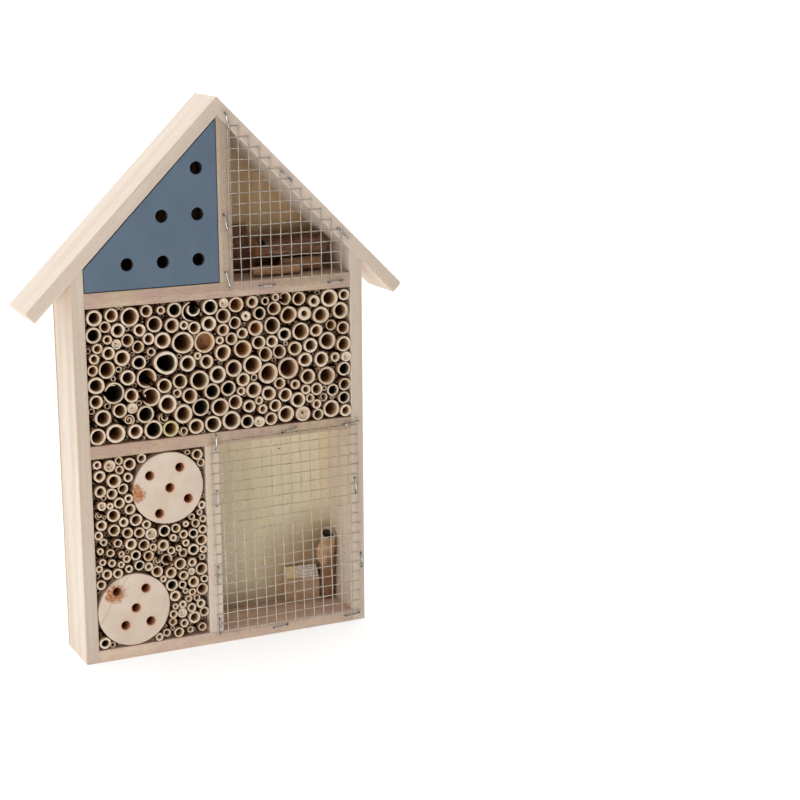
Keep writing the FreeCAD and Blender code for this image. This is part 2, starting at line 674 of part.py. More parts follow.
def make_reeds(prefix, reeds, bundles, seed):
    """The reeds of a room, in bundles that are each a group of separate solids."""
    chance = random.Random(seed)
    per_bundle = math.ceil(len(reeds) / bundles)
    for number in range(bundles):
        name = "%s_%02d" % (prefix, number + 1)
        sketch = doc.addObject("Sketcher::SketchObject", name + "_rings")
        sketch.Placement = Placement(Vector(), Rotation(AXIS_X, 90))
        reed_rings(sketch, reeds[number * per_bundle:(number + 1) * per_bundle], chance)
        sunk = REED_FRONTS[number % len(REED_FRONTS)]
        bundle = doc.addObject("Part::Extrusion", name + "_extrusion")
        bundle.Base = sketch
        bundle.DirMode = "Custom"
        bundle.Dir = AXIS_Y
        bundle.Solid = True
        bundle.FaceMakerClass = "Part::FaceMakerBullseye"
        bind(bundle, "LengthFwd", "board_depth - %s - %s" % (sunk, REED_BACK_GAP))
        bind(sketch, "Placement.Base.y", "front_y + %s" % sunk)
        keep(bundle, name)


middle_room = Room(-ROOM_HALF, ROOM_HALF, MIDDLE_FLOOR, size["upper_shelf_z"], [])
lower_left_room = Room(-ROOM_HALF, size["lower_divider_x"], size["bottom_thickness"], size["middle_shelf_z"], [
    [UPPER_DISC[0], UPPER_DISC[1], size["upper_disc_diameter"] / 2],
    [LOWER_DISC[0], LOWER_DISC[1], size["lower_disc_diameter"] / 2],
])
middle_reeds = sorted(packed_reeds(middle_room, MIDDLE_LARGE_REEDS + MIDDLE_SMALL_REEDS, 4.2, 2.6, 11))
lower_reeds = sorted(packed_reeds(lower_left_room, LOWER_LARGE_REEDS, 3.5, 2.1, 12), key=lambda reed: reed[1])


# ---- wood pieces in the mesh rooms ----

def resting_on(first, second, radius):
    """Y and Z of a round log that lies on two others, each given as y, z and radius."""
    run = second[0] - first[0]
    rise = second[1] - first[1]
    apart = math.hypot(run, rise)
    to_first = first[2] + radius + REED_GAP
    to_second = second[2] + radius + REED_GAP
    along = (to_first ** 2 - to_second ** 2 + apart ** 2) / (2 * apart)
    above = math.sqrt(to_first ** 2 - along ** 2)
    return first[0] + (run * along - rise * above) / apart, first[1] + (rise * along + run * above) / apart


def make_log(name, radius, from_x, to_x, y, z):
    log = doc.addObject("Part::Cylinder", name + "_bar")
    log.Radius = radius
    log.Height = to_x - from_x
    log.Placement = Placement(Vector(from_x, FRONT + y, z), Rotation(AXIS_Z, AXIS_X))
    return keep(log, name)


def make_roof_room_wood():
    middle_stick = (20.9, UPPER_FLOOR + 5.0, 4.9)
    rear_stick = (32.6, UPPER_FLOOR + 6.7, 6.6)
    make_log("front_stick", 3.5, 25.5, 59.2, 11.0, UPPER_FLOOR + 3.6)
    make_log("middle_stick", middle_stick[2], 50.0, 78.4, middle_stick[0], middle_stick[1])
    make_log("rear_stick", rear_stick[2], 33.0, 80.0, rear_stick[0], rear_stick[1])
    log_radius = 7.1
    y, z = resting_on(middle_stick, rear_stick, log_radius)
    make_log("thick_log", log_radius, 32.6, 82.0, y, z)
    # The slab leans back against the plywood.
    floor = "upper_shelf_z + upper_shelf_thickness"
    top = floor + " + 31.5"
    slab = padded_outline("bark_slab", [
        ("29.0", floor), ("34.2", floor), ("board_depth - 0.1", top), ("board_depth - 5.3", top)],
        "11.5", "YZ_Plane")
    slab.Placement.Base.x = 20.8
    keep(slab, "bark_slab")


def make_lower_room_wood():
    rear = "board_depth - 0.2"
    chunk = padded_outline("wood_block", [
        ("31.5", "bottom_thickness"), (rear, "bottom_thickness"), (rear, "33.5"), ("31.5", "26.0")],
        "24.8", "YZ_Plane")
    chunk.Placement.Base.x = 54.7
    keep(chunk, "wood_block")

    floor = size["bottom_thickness"]
    foot = Vector(85.7, FRONT + 32.5, floor)
    lean = Vector(84.6, FRONT + 27.0, 60.0) - foot
    start = foot - lean * 0.1
    outer = doc.addObject("Part::Cylinder", "stem_outside")
    outer.Radius = 5.6
    bore = doc.addObject("Part::Cylinder", "stem_bore")
    bore.Radius = 3.9
    for bar in (outer, bore):
        bar.Height = lean.Length * 1.2
        bar.Placement = Placement(start, Rotation(AXIS_Z, lean))
    tube = doc.addObject("Part::Cut", "stem_tube")
    tube.Base = outer
    tube.Tool = bore
    # The foot is cut level and the top is cut at a slant that faces the front.
    below = doc.addObject("Part::Box", "stem_foot_cut")
    above = doc.addObject("Part::Box", "stem_top_cut")
    for box in (below, above):
        box.Length = 40
        box.Width = 60
        box.Height = 40
    below.Placement.Base = Vector(65, FRONT, floor - 40)
    above.Placement = Placement(Vector(65, FRONT + 20.0, 52.0), Rotation(AXIS_X, 35))
    offcuts = doc.addObject("Part::Compound", "stem_offcuts")
    offcuts.Links = [below, above]
    stem = doc.addObject("Part::Cut", "stem_cut")
    stem.Base = tube
    stem.Tool = offcuts
    keep(stem, "hollow_stem")


# ---- wire mesh ----

def wire(name, start, direction, length):
    bar = doc.addObject("Part::Cylinder", name)
    bind(bar, "Radius", "mesh_wire / 2")
    bar.Height = length
    bar.Placement = Placement(start, Rotation(AXIS_Z, direction))
    return bar


def mesh_group(name, wires, placement):
    group = doc.addObject("Part::Compound", name + "_wires")
    group.Links = wires
    group.Placement = placement
    keep(group, name)


def make_lower_mesh():
    pitch = size["mesh_pitch"]
    behind = -size["mesh_wire"] / 2 - MESH_GAP
    ahead = -1.5 * size["mesh_wire"] - 2 * MESH_GAP
    uprights, levels = LOWER_MESH_WIRES
    width = pitch * (uprights - 1)
    wires = []
    for number in range(uprights):
        start = Vector(number * pitch, ahead, 0)
        wires.append(wire("lower_upright_%02d" % number, start, AXIS_Z, LOWER_MESH_HEIGHT))
    for number in range(levels):
        start = Vector(-LOWER_MESH_STUB, behind, LOWER_MESH_FIRST_LEVEL + number * pitch)
        wires.append(wire("lower_level_%02d" % number, start, AXIS_X, width + 2 * LOWER_MESH_STUB))
    corner = Vector(LOWER_MESH_CORNER[0], FRONT, LOWER_MESH_CORNER[1])
    mesh_group("lower_wire_mesh", wires, Placement(corner, Rotation(AXIS_Y, MESH_TILT)))


def make_roof_mesh():
    pitch = size["roof_mesh_pitch"]
    behind = -size["mesh_wire"] / 2 - MESH_GAP
    ahead = -1.5 * size["mesh_wire"] - 2 * MESH_GAP
    uprights, levels = ROOF_MESH_WIRES
    first_x, first_z = ROOF_MESH_FIRST
    edge = APEX_Z + (size["roof_thickness"] - ROOF_MESH_EDGE_INSET) * ROOT_TWO  # x + z along the cut edge
    last_x = first_x + (uprights - 1) * pitch
    wires = []
    for number in range(uprights):
        x = first_x + number * pitch
        bottom = ROOF_MESH_BOTTOM_Z + (number % 3) * 0.7
        wires.append(wire("roof_upright_%02d" % number, Vector(x, ahead, bottom), AXIS_Z, edge - x - bottom))
    for number in range(levels):
        z = first_z + number * pitch
        start_x = first_x - LOWER_MESH_STUB
        end_x = min(edge - z, last_x + LOWER_MESH_STUB)
        wires.append(wire("roof_level_%02d" % number, Vector(start_x, behind, z), AXIS_X, end_x - start_x))
    mesh_group("roof_wire_mesh", wires, Placement(Vector(0, FRONT, 0), Rotation()))


# ---- the whole object ----

brad = make_brad()
staple = make_staple()
screw = make_screw()
doc.recompute()
side_brads = keep(copies("side_panel_brads", brad, side_panel_places()), "side_panel_brads")
divider_brads = keep(copies("divider_brads", brad, divider_places()), "divider_brads")
roof_brads = keep(copies("roof_brads", brad, roof_places()), "roof_brads")
blue_brads = keep(copies("blue_panel_brads", brad, blue_panel_places()), "blue_panel_brads")
back_brads = keep(copies("back_panel_brads", brad, back_panel_places()), "back_panel_brads")
hanger_screws = keep(copies("hanger_screws", screw, screw_places()), "hanger_screws")
roof_staples = keep(copies("roof_mesh_staples", staple, staple_places(ROOF_STAPLES)), "roof_mesh_staples")
lower_staples = keep(copies("lower_mesh_staples", staple, staple_places(LOWER_STAPLES)), "lower_mesh_staples")

make_frame(side_brads, divider_brads, roof_brads, blue_brads, back_brads, hanger_screws,
           roof_staples, lower_staples)
make_back_panel(back_brads, hanger_screws)
make_hanger(hanger_screws)
make_blue_panel(blue_brads)
make_disc("upper_log_disc", UPPER_DISC, UPPER_DISC_HOLES, "upper_disc_diameter")
make_disc("lower_log_disc", LOWER_DISC, LOWER_DISC_HOLES, "lower_disc_diameter")
make_reeds("middle_reeds", middle_reeds, MIDDLE_BUNDLES, 21)
make_reeds("lower_reeds", lower_reeds, LOWER_BUNDLES, 22)
make_roof_room_wood()
make_lower_room_wood()
make_lower_mesh()
make_roof_mesh()
doc.recompute()

for thing in doc.Objects:
    if "Invalid" in thing.State or "Error" in thing.State:
        raise ValueError("%s did not compute: %s" % (thing.Name, thing.State))
for thing in subparts:
    if thing.Shape.isNull() or not thing.Shape.isValid():
        raise ValueError("%s has no valid shape" % thing.Label)

os.makedirs("parts", exist_ok=True)
for thing in subparts:
    thing.Shape.exportStep("parts/%s.step" % thing.Label)

whole = Part.makeCompound([thing.Shape for thing in subparts]).BoundBox
print("nodes", len(subparts), "solids", sum(len(thing.Shape.Solids) for thing in subparts))
print("reeds", len(middle_reeds), "and", len(lower_reeds))
print("x %.2f to %.2f, y %.2f to %.2f, z %.2f to %.2f" % (
    whole.XMin, whole.XMax, whole.YMin, whole.YMax, whole.ZMin, whole.ZMax))
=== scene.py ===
"""Looks of the insect hotel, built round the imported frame.

Shapes are made in millimetres in the frame's axes, +Z up and -Y to the front.
"""

import math
import random

import bmesh
import bpy
from mathutils import Euler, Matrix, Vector, noise


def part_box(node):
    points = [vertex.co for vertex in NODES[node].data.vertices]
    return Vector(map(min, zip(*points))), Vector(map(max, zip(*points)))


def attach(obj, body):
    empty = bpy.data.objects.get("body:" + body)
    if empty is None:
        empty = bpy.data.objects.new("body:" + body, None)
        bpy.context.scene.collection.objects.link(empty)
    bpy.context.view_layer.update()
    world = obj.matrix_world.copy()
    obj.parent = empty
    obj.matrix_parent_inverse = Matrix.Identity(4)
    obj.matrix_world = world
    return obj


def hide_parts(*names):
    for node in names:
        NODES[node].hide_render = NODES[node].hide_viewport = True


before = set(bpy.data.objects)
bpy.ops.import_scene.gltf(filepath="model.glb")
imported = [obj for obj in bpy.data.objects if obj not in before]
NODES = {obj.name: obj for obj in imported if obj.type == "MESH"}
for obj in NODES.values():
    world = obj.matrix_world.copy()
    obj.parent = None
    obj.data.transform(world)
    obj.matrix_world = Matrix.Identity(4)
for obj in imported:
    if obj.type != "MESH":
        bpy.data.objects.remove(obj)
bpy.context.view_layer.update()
METRE = 0.001  # one millimetre

GRAIN_UNIT = 0.1  # the grain attribute is in centimetres


# ---- places read from the frame ----

def node_box(name):
    """Lowest and highest corner of a CAD node, in millimetres."""
    low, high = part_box(name)
    return low / METRE, high / METRE


def solids_of(name):
    """The corner points of each separate solid of a CAD node, in millimetres."""
    mesh = bmesh.new()
    mesh.from_mesh(NODES[name].data)
    bmesh.ops.remove_doubles(mesh, verts=mesh.verts, dist=1e-6)
    found = []
    left = set(mesh.verts)
    for first in mesh.verts:
        if first not in left:
            continue
        left.discard(first)
        queue = [first]
        points = []
        while queue:
            vertex = queue.pop()
            points.append(vertex.co / METRE)
            for edge in vertex.link_edges:
                other = edge.other_vert(vertex)
                if other in left:
                    left.discard(other)
                    queue.append(other)
        found.append(points)
    mesh.free()
    return found


def span(points, axis):
    values = [point[axis] for point in points]
    return min(values), max(values)


side_low, side_high = node_box("left_side_panel")
FRONT = side_low.y
BACK = side_high.y
HALF_WIDTH = -side_low.x
ROOM_HALF = -side_high.x
BOTTOM_TOP = node_box("bottom_board")[1].z
MIDDLE_LOW, MIDDLE_HIGH = (corner.z for corner in node_box("middle_shelf"))
UPPER_LOW, UPPER_HIGH = (corner.z for corner in node_box("upper_shelf"))
DIVIDER_LEFT = node_box("lower_divider")[0].x
ROOF_DIVIDER_LEFT, ROOF_DIVIDER_RIGHT = (corner.x for corner in node_box("roof_divider"))
APEX = side_high.z + ROOM_HALF  # underside of the roof on the centre line
EAVE_X = node_box("right_roof_board")[1].x
ROOF_TOP = node_box("left_roof_board")[1].z


# ---- shapes ----

class Shape:
    """Points and faces of a piece, with named values at each point."""

    def __init__(self):
        self.points = []
        self.faces = []
        self.marks = {}

    def add(self, point, **marks):
        self.points.append(Vector(point))
        for name, value in marks.items():
            self.marks.setdefault(name, []).append(value)
        return len(self.points) - 1

    def bridge(self, first, second, closed=True):
        """Faces between two rows of points of the same length."""
        count = len(first)
        for i in range(count if closed else count - 1):
            j = (i + 1) % count
            self.faces.append((first[i], first[j], second[j], second[i]))

    def loft(self, rows, capped=False):
        """Faces between each row and the next and, if it is capped, over the first row and the last."""
        for first, second in zip(rows, rows[1:]):
            self.bridge(first, second)
        if capped:
            self.faces.append(tuple(rows[0]))
            self.faces.append(tuple(reversed(rows[-1])))


def make_piece(name, shape, material, replaced=(), smooth_below=35.0):
    """Turns a shape into an object that rides on the root body."""
    mesh = bpy.data.meshes.new(name)
    mesh.from_pydata([point * METRE for point in shape.points], [], shape.faces)
    for mark, values in shape.marks.items():
        if isinstance(values[0], float):
            attribute = mesh.attributes.new(mark, "FLOAT", "POINT")
            attribute.data.foreach_set("value", values)
        else:
            attribute = mesh.attributes.new(mark, "FLOAT_VECTOR", "POINT")
            attribute.data.foreach_set("vector", [part for value in values for part in value])
    mesh.materials.append(material)
    tidy = bmesh.new()
    tidy.from_mesh(mesh)
    bmesh.ops.recalc_face_normals(tidy, faces=tidy.faces)
    tidy.to_mesh(mesh)
    tidy.free()
    mesh.shade_smooth()
    mesh.set_sharp_from_angle(angle=math.radians(smooth_below))
    piece = bpy.data.objects.new(name, mesh)
    bpy.context.scene.collection.objects.link(piece)
    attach(piece, "root")
    if replaced:
        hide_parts(*replaced)


def rounded(outline, corners):
    """An outline with some of its corners rounded: corners maps a corner's index to its radius."""
    result = []
    count = len(outline)
    for index, (x, z) in enumerate(outline):
        radius = corners.get(index, 0)
        if not radius:
            result.append((x, z))
            continue
        here = Vector((x, z))
        before = (Vector(outline[index - 1]) - here).normalized()
        after = (Vector(outline[(index + 1) % count]) - here).normalized()
        half = before.angle(after) / 2
        centre = here + (before + after).normalized() * radius / math.sin(half)
        start = here + before * radius / math.tan(half) - centre
        end = here + after * radius / math.tan(half) - centre
        turn = math.atan2(start.x * end.y - start.y * end.x, start.dot(end))
        for step in range(6):
            angle = turn * step / 5
            spoke = Vector((
                start.x * math.cos(angle) - start.y * math.sin(angle),
                start.x * math.sin(angle) + start.y * math.cos(angle)))
            result.append(tuple(centre + spoke))
    return result


def board(name, outline, material, grain_angle, seed, edge=0.5):
    """A board with eased edges, from its outline in X and Z. Its grain is at grain_angle degrees from X."""
    mesh = bmesh.new()
    front = [mesh.verts.new((x, FRONT, z)) for x, z in outline]
    back = [mesh.verts.new((x, BACK, z)) for x, z in outline]
    mesh.faces.new(front)
    mesh.faces.new(back[::-1])
    count = len(outline)
    for i in range(count):
        j = (i + 1) % count
        mesh.faces.new((front[j], front[i], back[i], back[j]))
    bmesh.ops.recalc_face_normals(mesh, faces=mesh.faces)
    sharp = [each for each in mesh.edges if each.calc_face_angle(0) > math.radians(20)]
    bmesh.ops.bevel(
        mesh, geom=sharp, offset=edge, segments=3, profile=0.6, affect="EDGES", clamp_overlap=True)
    mesh.verts.index_update()
    shape = Shape()
    along = Vector((math.cos(math.radians(grain_angle)), 0, math.sin(math.radians(grain_angle))))
    across = Vector((-along.z, 0, along.x))
    start = random.Random(seed).uniform(-40, 40)
    for vertex in mesh.verts:
        point = vertex.co
        grain = Vector((point.dot(along), point.dot(across), point.y)) * GRAIN_UNIT
        shape.add(point, grain=grain + Vector((start, start * 0.7, start * 1.3)))
    shape.faces = [[vertex.index for vertex in face.verts] for face in mesh.faces]
    mesh.free()
    make_piece(name + "_wood", shape, material, [name], smooth_below=50)


def add_tube(shape, path, radius, sides, flatten=1.0):
    """A closed tube along a path. flatten squeezes it along Y."""
    rows = []
    previous = None
    for index, point in enumerate(path):
        before = path[max(index - 1, 0)]
        after = path[min(index + 1, len(path) - 1)]
        direction = (after - before).normalized()
        if previous is None:
            previous = direction.orthogonal().normalized()
        first = (previous - direction * previous.dot(direction)).normalized()
        second = direction.cross(first)
        previous = first
        row = []
        for side in range(sides):
            angle = 2 * math.pi * side / sides
            spoke = (first * math.cos(angle) + second * math.sin(angle)) * radius
            spoke.y *= flatten
            row.append(shape.add(point + spoke))
        rows.append(row)
    shape.loft(rows, capped=True)


# ---- materials ----

class Material:
    """A node material with a principled shader and short calls to add nodes."""

    def __init__(self, name, roughness, **inputs):
        self.material = bpy.data.materials.new(name)
        self.material.use_nodes = True
        self.tree = self.material.node_tree
        self.shader = self.tree.nodes["Principled BSDF"]
        self.shader.inputs["Roughness"].default_value = roughness
        for key, value in inputs.items():
            self.shader.inputs[key.replace("_", " ")].default_value = value

    def node(self, kind, **settings):
        made = self.tree.nodes.new(kind)
        for key, value in settings.items():
            setattr(made, key, value)
        return made

    def link(self, source, target):
        self.tree.links.new(source, target)

    def attribute(self, name, output="Fac"):
        return self.node("ShaderNodeAttribute", attribute_name=name).outputs[output]

    def position(self):
        return self.node("ShaderNodeTexCoord").outputs["Object"]

    def scaled(self, vector, factors):
        made = self.node("ShaderNodeVectorMath", operation="MULTIPLY")
        self.link(vector, made.inputs[0])
        made.inputs[1].default_value = factors
        return made.outputs[0]

    def noise(self, vector, detail=3.0, rough=0.5, distortion=0.0):
        made = self.node("ShaderNodeTexNoise")
        self.link(vector, made.inputs["Vector"])
        made.inputs["Scale"].default_value = 1.0
        made.inputs["Detail"].default_value = detail
        made.inputs["Roughness"].default_value = rough
        made.inputs["Distortion"].default_value = distortion
        return made.outputs["Fac"]

    def ramp(self, value, stops):
        """Colours or greys at positions from 0 to 1."""
        made = self.node("ShaderNodeValToRGB")
        self.link(value, made.inputs["Fac"])
        elements = made.color_ramp.elements
        while len(elements) < len(stops):
            elements.new(0.5)
        for element, (place, colour) in zip(elements, stops):
            element.position = place
            if isinstance(colour, float):
                colour = (colour, colour, colour)
            element.color = (*colour, 1)
        return made.outputs["Color"]

    def math(self, operation, first, second=0.0):
        made = self.node("ShaderNodeMath", operation=operation)
        for socket, value in zip(made.inputs, (first, second)):
            if isinstance(value, (int, float)):
                socket.default_value = value
            else:
                self.link(value, socket)
        return made.outputs[0]

    def mix(self, factor, first, second, blend="MIX"):
        made = self.node("ShaderNodeMix", data_type="RGBA", blend_type=blend)
        sockets = (made.inputs["Factor"], made.inputs[6], made.inputs[7])
        for socket, value in zip(sockets, (factor, first, second)):
            if isinstance(value, (int, float)):
                socket.default_value = value
            elif isinstance(value, tuple):
                socket.default_value = (*value, 1)
            else:
                self.link(value, socket)
        return made.outputs[2]

    def multiply(self, colour, other):
        return self.mix(1.0, colour, other, "MULTIPLY")

    def split(self, vector):
        """The X, Y and Z of a vector."""
        made = self.node("ShaderNodeSeparateXYZ")
        self.link(vector, made.inputs[0])
        return made.outputs

    def distance_to(self, vector, place):
        made = self.node("ShaderNodeVectorMath", operation="DISTANCE")
        self.link(vector, made.inputs[0])
        made.inputs[1].default_value = place
        return made.outputs["Value"]

    def finish(self, colour, height=None, strength=0.3, depth=0.0002):
        self.link(colour, self.shader.inputs["Base Color"])
        if height is not None:
            bump = self.node("ShaderNodeBump")
            bump.inputs["Strength"].default_value = strength
            bump.inputs["Distance"].default_value = depth
            self.link(height, bump.inputs["Height"])
            self.link(bump.outputs["Normal"], self.shader.inputs["Normal"])
        return self.material


def srgb(red, green, blue):
    """A colour given as it looks on a screen, from 0 to 255."""
    return tuple(
        part / 255 / 12.92 if part <= 10 else ((part / 255 + 0.055) / 1.055) ** 2.4
        for part in (red, green, blue))


def pine(name, pale, tan, pink, pinkness, contrast, darkest, front_face_shading):
    """Planed softwood with bands, lines and fibres along the grain. front_face_shading tints the front edge
    as painted shade.
    """
    wood = Material(name, 0.62, Specular_IOR_Level=0.25)
    grain = wood.attribute("grain", "Vector")
    bands = wood.noise(wood.scaled(grain, (0.05, 1.1, 1.1)), detail=2.0, distortion=0.3)
    lines = wood.noise(wood.scaled(grain, (0.12, 6.5, 6.5)), detail=3.0, rough=0.6, distortion=0.4)
    fibres = wood.noise(wood.scaled(grain, (2.2, 46.0, 46.0)), detail=2.0, rough=0.7)
    clouds = wood.noise(wood.scaled(grain, (0.5, 0.8, 0.8)), detail=2.0)
    colour = wood.mix(wood.ramp(bands, [(0.36, 0.0), (0.64, contrast)]), pale, tan)
    colour = wood.mix(wood.ramp(lines, [(0.46, 0.0), (0.60, 0.34)]), colour, tan)
    colour = wood.mix(wood.ramp(clouds, [(0.40, 0.0), (0.62, pinkness)]), colour, pink)
    shade = wood.ramp(fibres, [(0.32, darkest), (0.58, 1.0)])
    colour = wood.multiply(colour, shade)
    # Painted shade: the front edge is tinted, mostly darker, as it gets less light than the sides.
    facing = wood.split(wood.node("ShaderNodeNewGeometry").outputs["True Normal"])
    is_front = wood.math("GREATER_THAN", wood.math("MULTIPLY", facing["Y"], -1.0), 0.8)
    colour = wood.mix(is_front, colour, wood.multiply(colour, front_face_shading))
    height = wood.math("ADD", wood.math("MULTIPLY", lines, 0.5), fibres)
    return wood.finish(colour, height, 0.35, 0.00015)


def plywood():
    """Thin ply with upright grain, pores and knots: painted light and yellowish inside, darker on its edges
    and back, as painted light and shade.
    """
    wood = Material("plywood", 0.7, Specular_IOR_Level=0.2)
    grain = wood.attribute("grain", "Vector")
    bands = wood.noise(wood.scaled(grain, (0.06, 1.4, 1.4)), detail=3.0, distortion=0.5)
    pores = wood.noise(wood.scaled(grain, (1.2, 22.0, 22.0)), detail=2.0, rough=0.7)
    banded = wood.ramp(bands, [(0.38, 0.0), (0.66, 1.0)])
    colour = wood.mix(banded, srgb(250, 240, 212), srgb(242, 228, 192))
    colour = wood.multiply(colour, wood.ramp(pores, [(0.30, 0.91), (0.56, 1.0)]))
    place = wood.position()
    parts = wood.split(place)
    # Painted shade: the sheet is browner in the roof room, in the corner behind the block and along the
    # floor.
    upper = wood.ramp(wood.math("MULTIPLY", parts["Z"], 2.5), [(0.585, 0.0), (0.61, 1.0)])
    colour = wood.mix(upper, colour, wood.multiply(colour, srgb(202, 180, 160)))
    painted_shade = wood.multiply(colour, srgb(176, 148, 128))
    corner = wood.math("DIVIDE", wood.distance_to(place, (0.078, BACK * METRE, 0.030)), 0.05)
    colour = wood.mix(wood.ramp(corner, [(0.25, 0.85), (1.0, 0.0)]), colour, painted_shade)
    above_floor = wood.math("SUBTRACT", parts["Z"], BOTTOM_TOP * METRE)
    above_floor = wood.math("MULTIPLY", above_floor, 60.0)
    colour = wood.mix(wood.ramp(above_floor, [(0.0, 0.6), (1.0, 0.0)]), colour, painted_shade)
    # Lit and shaded copies: the inside is painted light for the shaded rooms, and the edges and back are
    # darker.
    shaded_back = wood.mix(banded, srgb(204, 184, 152), srgb(184, 158, 124))
    shaded_back = wood.multiply(shaded_back, wood.ramp(pores, [(0.30, 0.84), (0.56, 1.0)]))
    outside = wood.math("GREATER_THAN", parts["Y"], (BACK + 0.2) * METRE)
    colour = wood.mix(outside, colour, shaded_back)
    for x, z, width in ((0.054, 0.1188, 0.0009), (0.048, 0.0722, 0.0006), (0.0175, 0.318, 0.0012)):
        spot = wood.math("DIVIDE", wood.distance_to(place, (x, BACK * METRE, z)), width)
        colour = wood.mix(wood.ramp(spot, [(0.5, 0.8), (1.0, 0.0)]), colour, srgb(120, 78, 48))
    return wood.finish(colour, pores, 0.3, 0.0001)


def blue_paint():
    """Matte slate-blue paint over wood, with raw wood inside the holes, painted dark brown as shade that
    deepens inwards.
    """
    paint = Material("blue_paint", 0.55, Specular_IOR_Level=0.3)
    place = paint.position()
    grain = paint.noise(paint.scaled(place, (2600.0, 900.0, 70.0)), detail=3.0, rough=0.6)
    clouds = paint.noise(paint.scaled(place, (45.0, 45.0, 30.0)), detail=3.0)
    clouded = paint.ramp(clouds, [(0.35, 0.0), (0.7, 1.0)])
    colour = paint.mix(clouded, srgb(94, 112, 131), srgb(101, 119, 138))
    colour = paint.multiply(colour, paint.ramp(grain, [(0.3, 0.90), (0.6, 1.0)]))
    # Painted shade: the hole walls darken inwards to dark brown.
    inside = paint.attribute("inside")
    colour = paint.mix(paint.ramp(inside, [(0.05, 0.0), (0.5, 1.0)]), colour, srgb(64, 52, 44))
    return paint.finish(colour, grain, 0.3, 0.0001)


def log_end(name, centre, pith, holes, knots, cracks):
    """Sawn end grain: faint rings round the pith, warm rims round the drilled holes, knots and cracks.

    Places are in millimetres from the centre. A knot is x, z, width and strength. A crack is a thin line
    from x and z, with its angle in degrees and where it starts and ends along that angle.
    """
    wood = Material(name, 0.68, Specular_IOR_Level=0.2)
    place = wood.scaled(wood.position(), (1000.0, 0.0, 1000.0))
    flat = wood.node("ShaderNodeVectorMath", operation="SUBTRACT")
    wood.link(place, flat.inputs[0])
    flat.inputs[1].default_value = (centre[0], 0, centre[1])
    local = flat.outputs[0]
    wobble = wood.noise(wood.scaled(local, (0.09, 0.09, 0.09)), detail=3.0)
    radius = wood.distance_to(local, (pith[0], 0, pith[1]))
    radius = wood.math("ADD", radius, wood.math("MULTIPLY", wobble, 6.0))
    rings = wood.math("SINE", wood.math("MULTIPLY", radius, 2.6))
    speckle = wood.noise(wood.scaled(local, (2.4, 2.4, 2.4)), detail=3.0, rough=0.7)
    clouds = wood.noise(wood.scaled(local, (0.07, 0.07, 0.07)), detail=2.0)
    clouded = wood.ramp(clouds, [(0.35, 0.0), (0.65, 1.0)])
    colour = wood.mix(clouded, srgb(230, 213, 197), srgb(221, 202, 184))
    patchy = wood.noise(wood.scaled(local, (0.12, 0.12, 0.12)), detail=1.0)
    faint = wood.ramp(patchy, [(0.4, 0.1), (0.6, 1.0)])
    rings = wood.math("MULTIPLY", wood.ramp(rings, [(0.2, 0.0), (1.0, 0.26)]), faint)
    colour = wood.mix(rings, colour, srgb(206, 180, 154))
    colour = wood.multiply(colour, wood.ramp(speckle, [(0.28, 0.90), (0.56, 1.0)]))
    rough = wood.math("MULTIPLY", wood.noise(wood.scaled(local, (0.8, 0.8, 0.8)), detail=3.0), 2.6)
    for x, z in holes:
        away = wood.math("ADD", wood.distance_to(local, (x, 0, z)), wood.math("MULTIPLY", rough, 0.4))
        halo = wood.ramp(wood.math("DIVIDE", away, 6.0), [(0.62, 0.42), (0.86, 0.0)])
        colour = wood.mix(halo, colour, srgb(230, 172, 132))
    ragged = wood.noise(wood.scaled(local, (0.55, 0.55, 0.55)), detail=5.0, rough=0.75)
    stain = wood.ramp(ragged, [
        (0.40, srgb(144, 86, 54)), (0.50, srgb(188, 128, 88)), (0.60, srgb(218, 168, 128))])
    for x, z, width, strength in knots:
        away = wood.distance_to(local, (x, 0, z))
        away = wood.math("ADD", away, wood.math("MULTIPLY", ragged, width * 0.9))
        patch = wood.ramp(wood.math("DIVIDE", away, width * 1.45), [
            (0.66, strength), (0.86, strength * 0.5), (1.0, 0.0)])
        colour = wood.mix(patch, colour, stain)
    for x, z, angle, start, end in cracks:
        turned = wood.node("ShaderNodeVectorRotate", rotation_type="Y_AXIS")
        wood.link(local, turned.inputs["Vector"])
        turned.inputs["Center"].default_value = (x, 0, z)
        turned.inputs["Angle"].default_value = math.radians(angle)
        parts = wood.split(turned.outputs[0])
        along = wood.math("SUBTRACT", parts["X"], x)
        wander = wood.math("MULTIPLY", wood.math("SUBTRACT", ragged, 0.5), 1.6)
        side = wood.math("ADD", wood.math("SUBTRACT", parts["Z"], z), wander)
        line = wood.math("LESS_THAN", wood.math("ABSOLUTE", side), 0.16)
        for limit in (wood.math("GREATER_THAN", along, start), wood.math("LESS_THAN", along, end), 0.5):
            line = wood.math("MULTIPLY", line, limit)
        colour = wood.mix(line, colour, srgb(120, 78, 52))
    # The hole walls go from warm brown at the mouth to dark brown deep in: their burnt colour, darkened
    # inwards as painted shade.
    inner = wood.attribute("inside")
    drilled = wood.ramp(inner, [
        (0.1, srgb(208, 158, 120)), (0.5, srgb(134, 84, 58)), (1.0, srgb(76, 46, 34))])
    colour = wood.mix(wood.ramp(inner, [(0.02, 0.0), (0.08, 1.0)]), colour, drilled)
    rim = wood.attribute("rim")
    colour = wood.mix(wood.ramp(rim, [(0.2, 0.0), (1.0, 1.0)]), colour, srgb(150, 112, 78))
    return wood.finish(colour, speckle, 0.35, 0.0002)


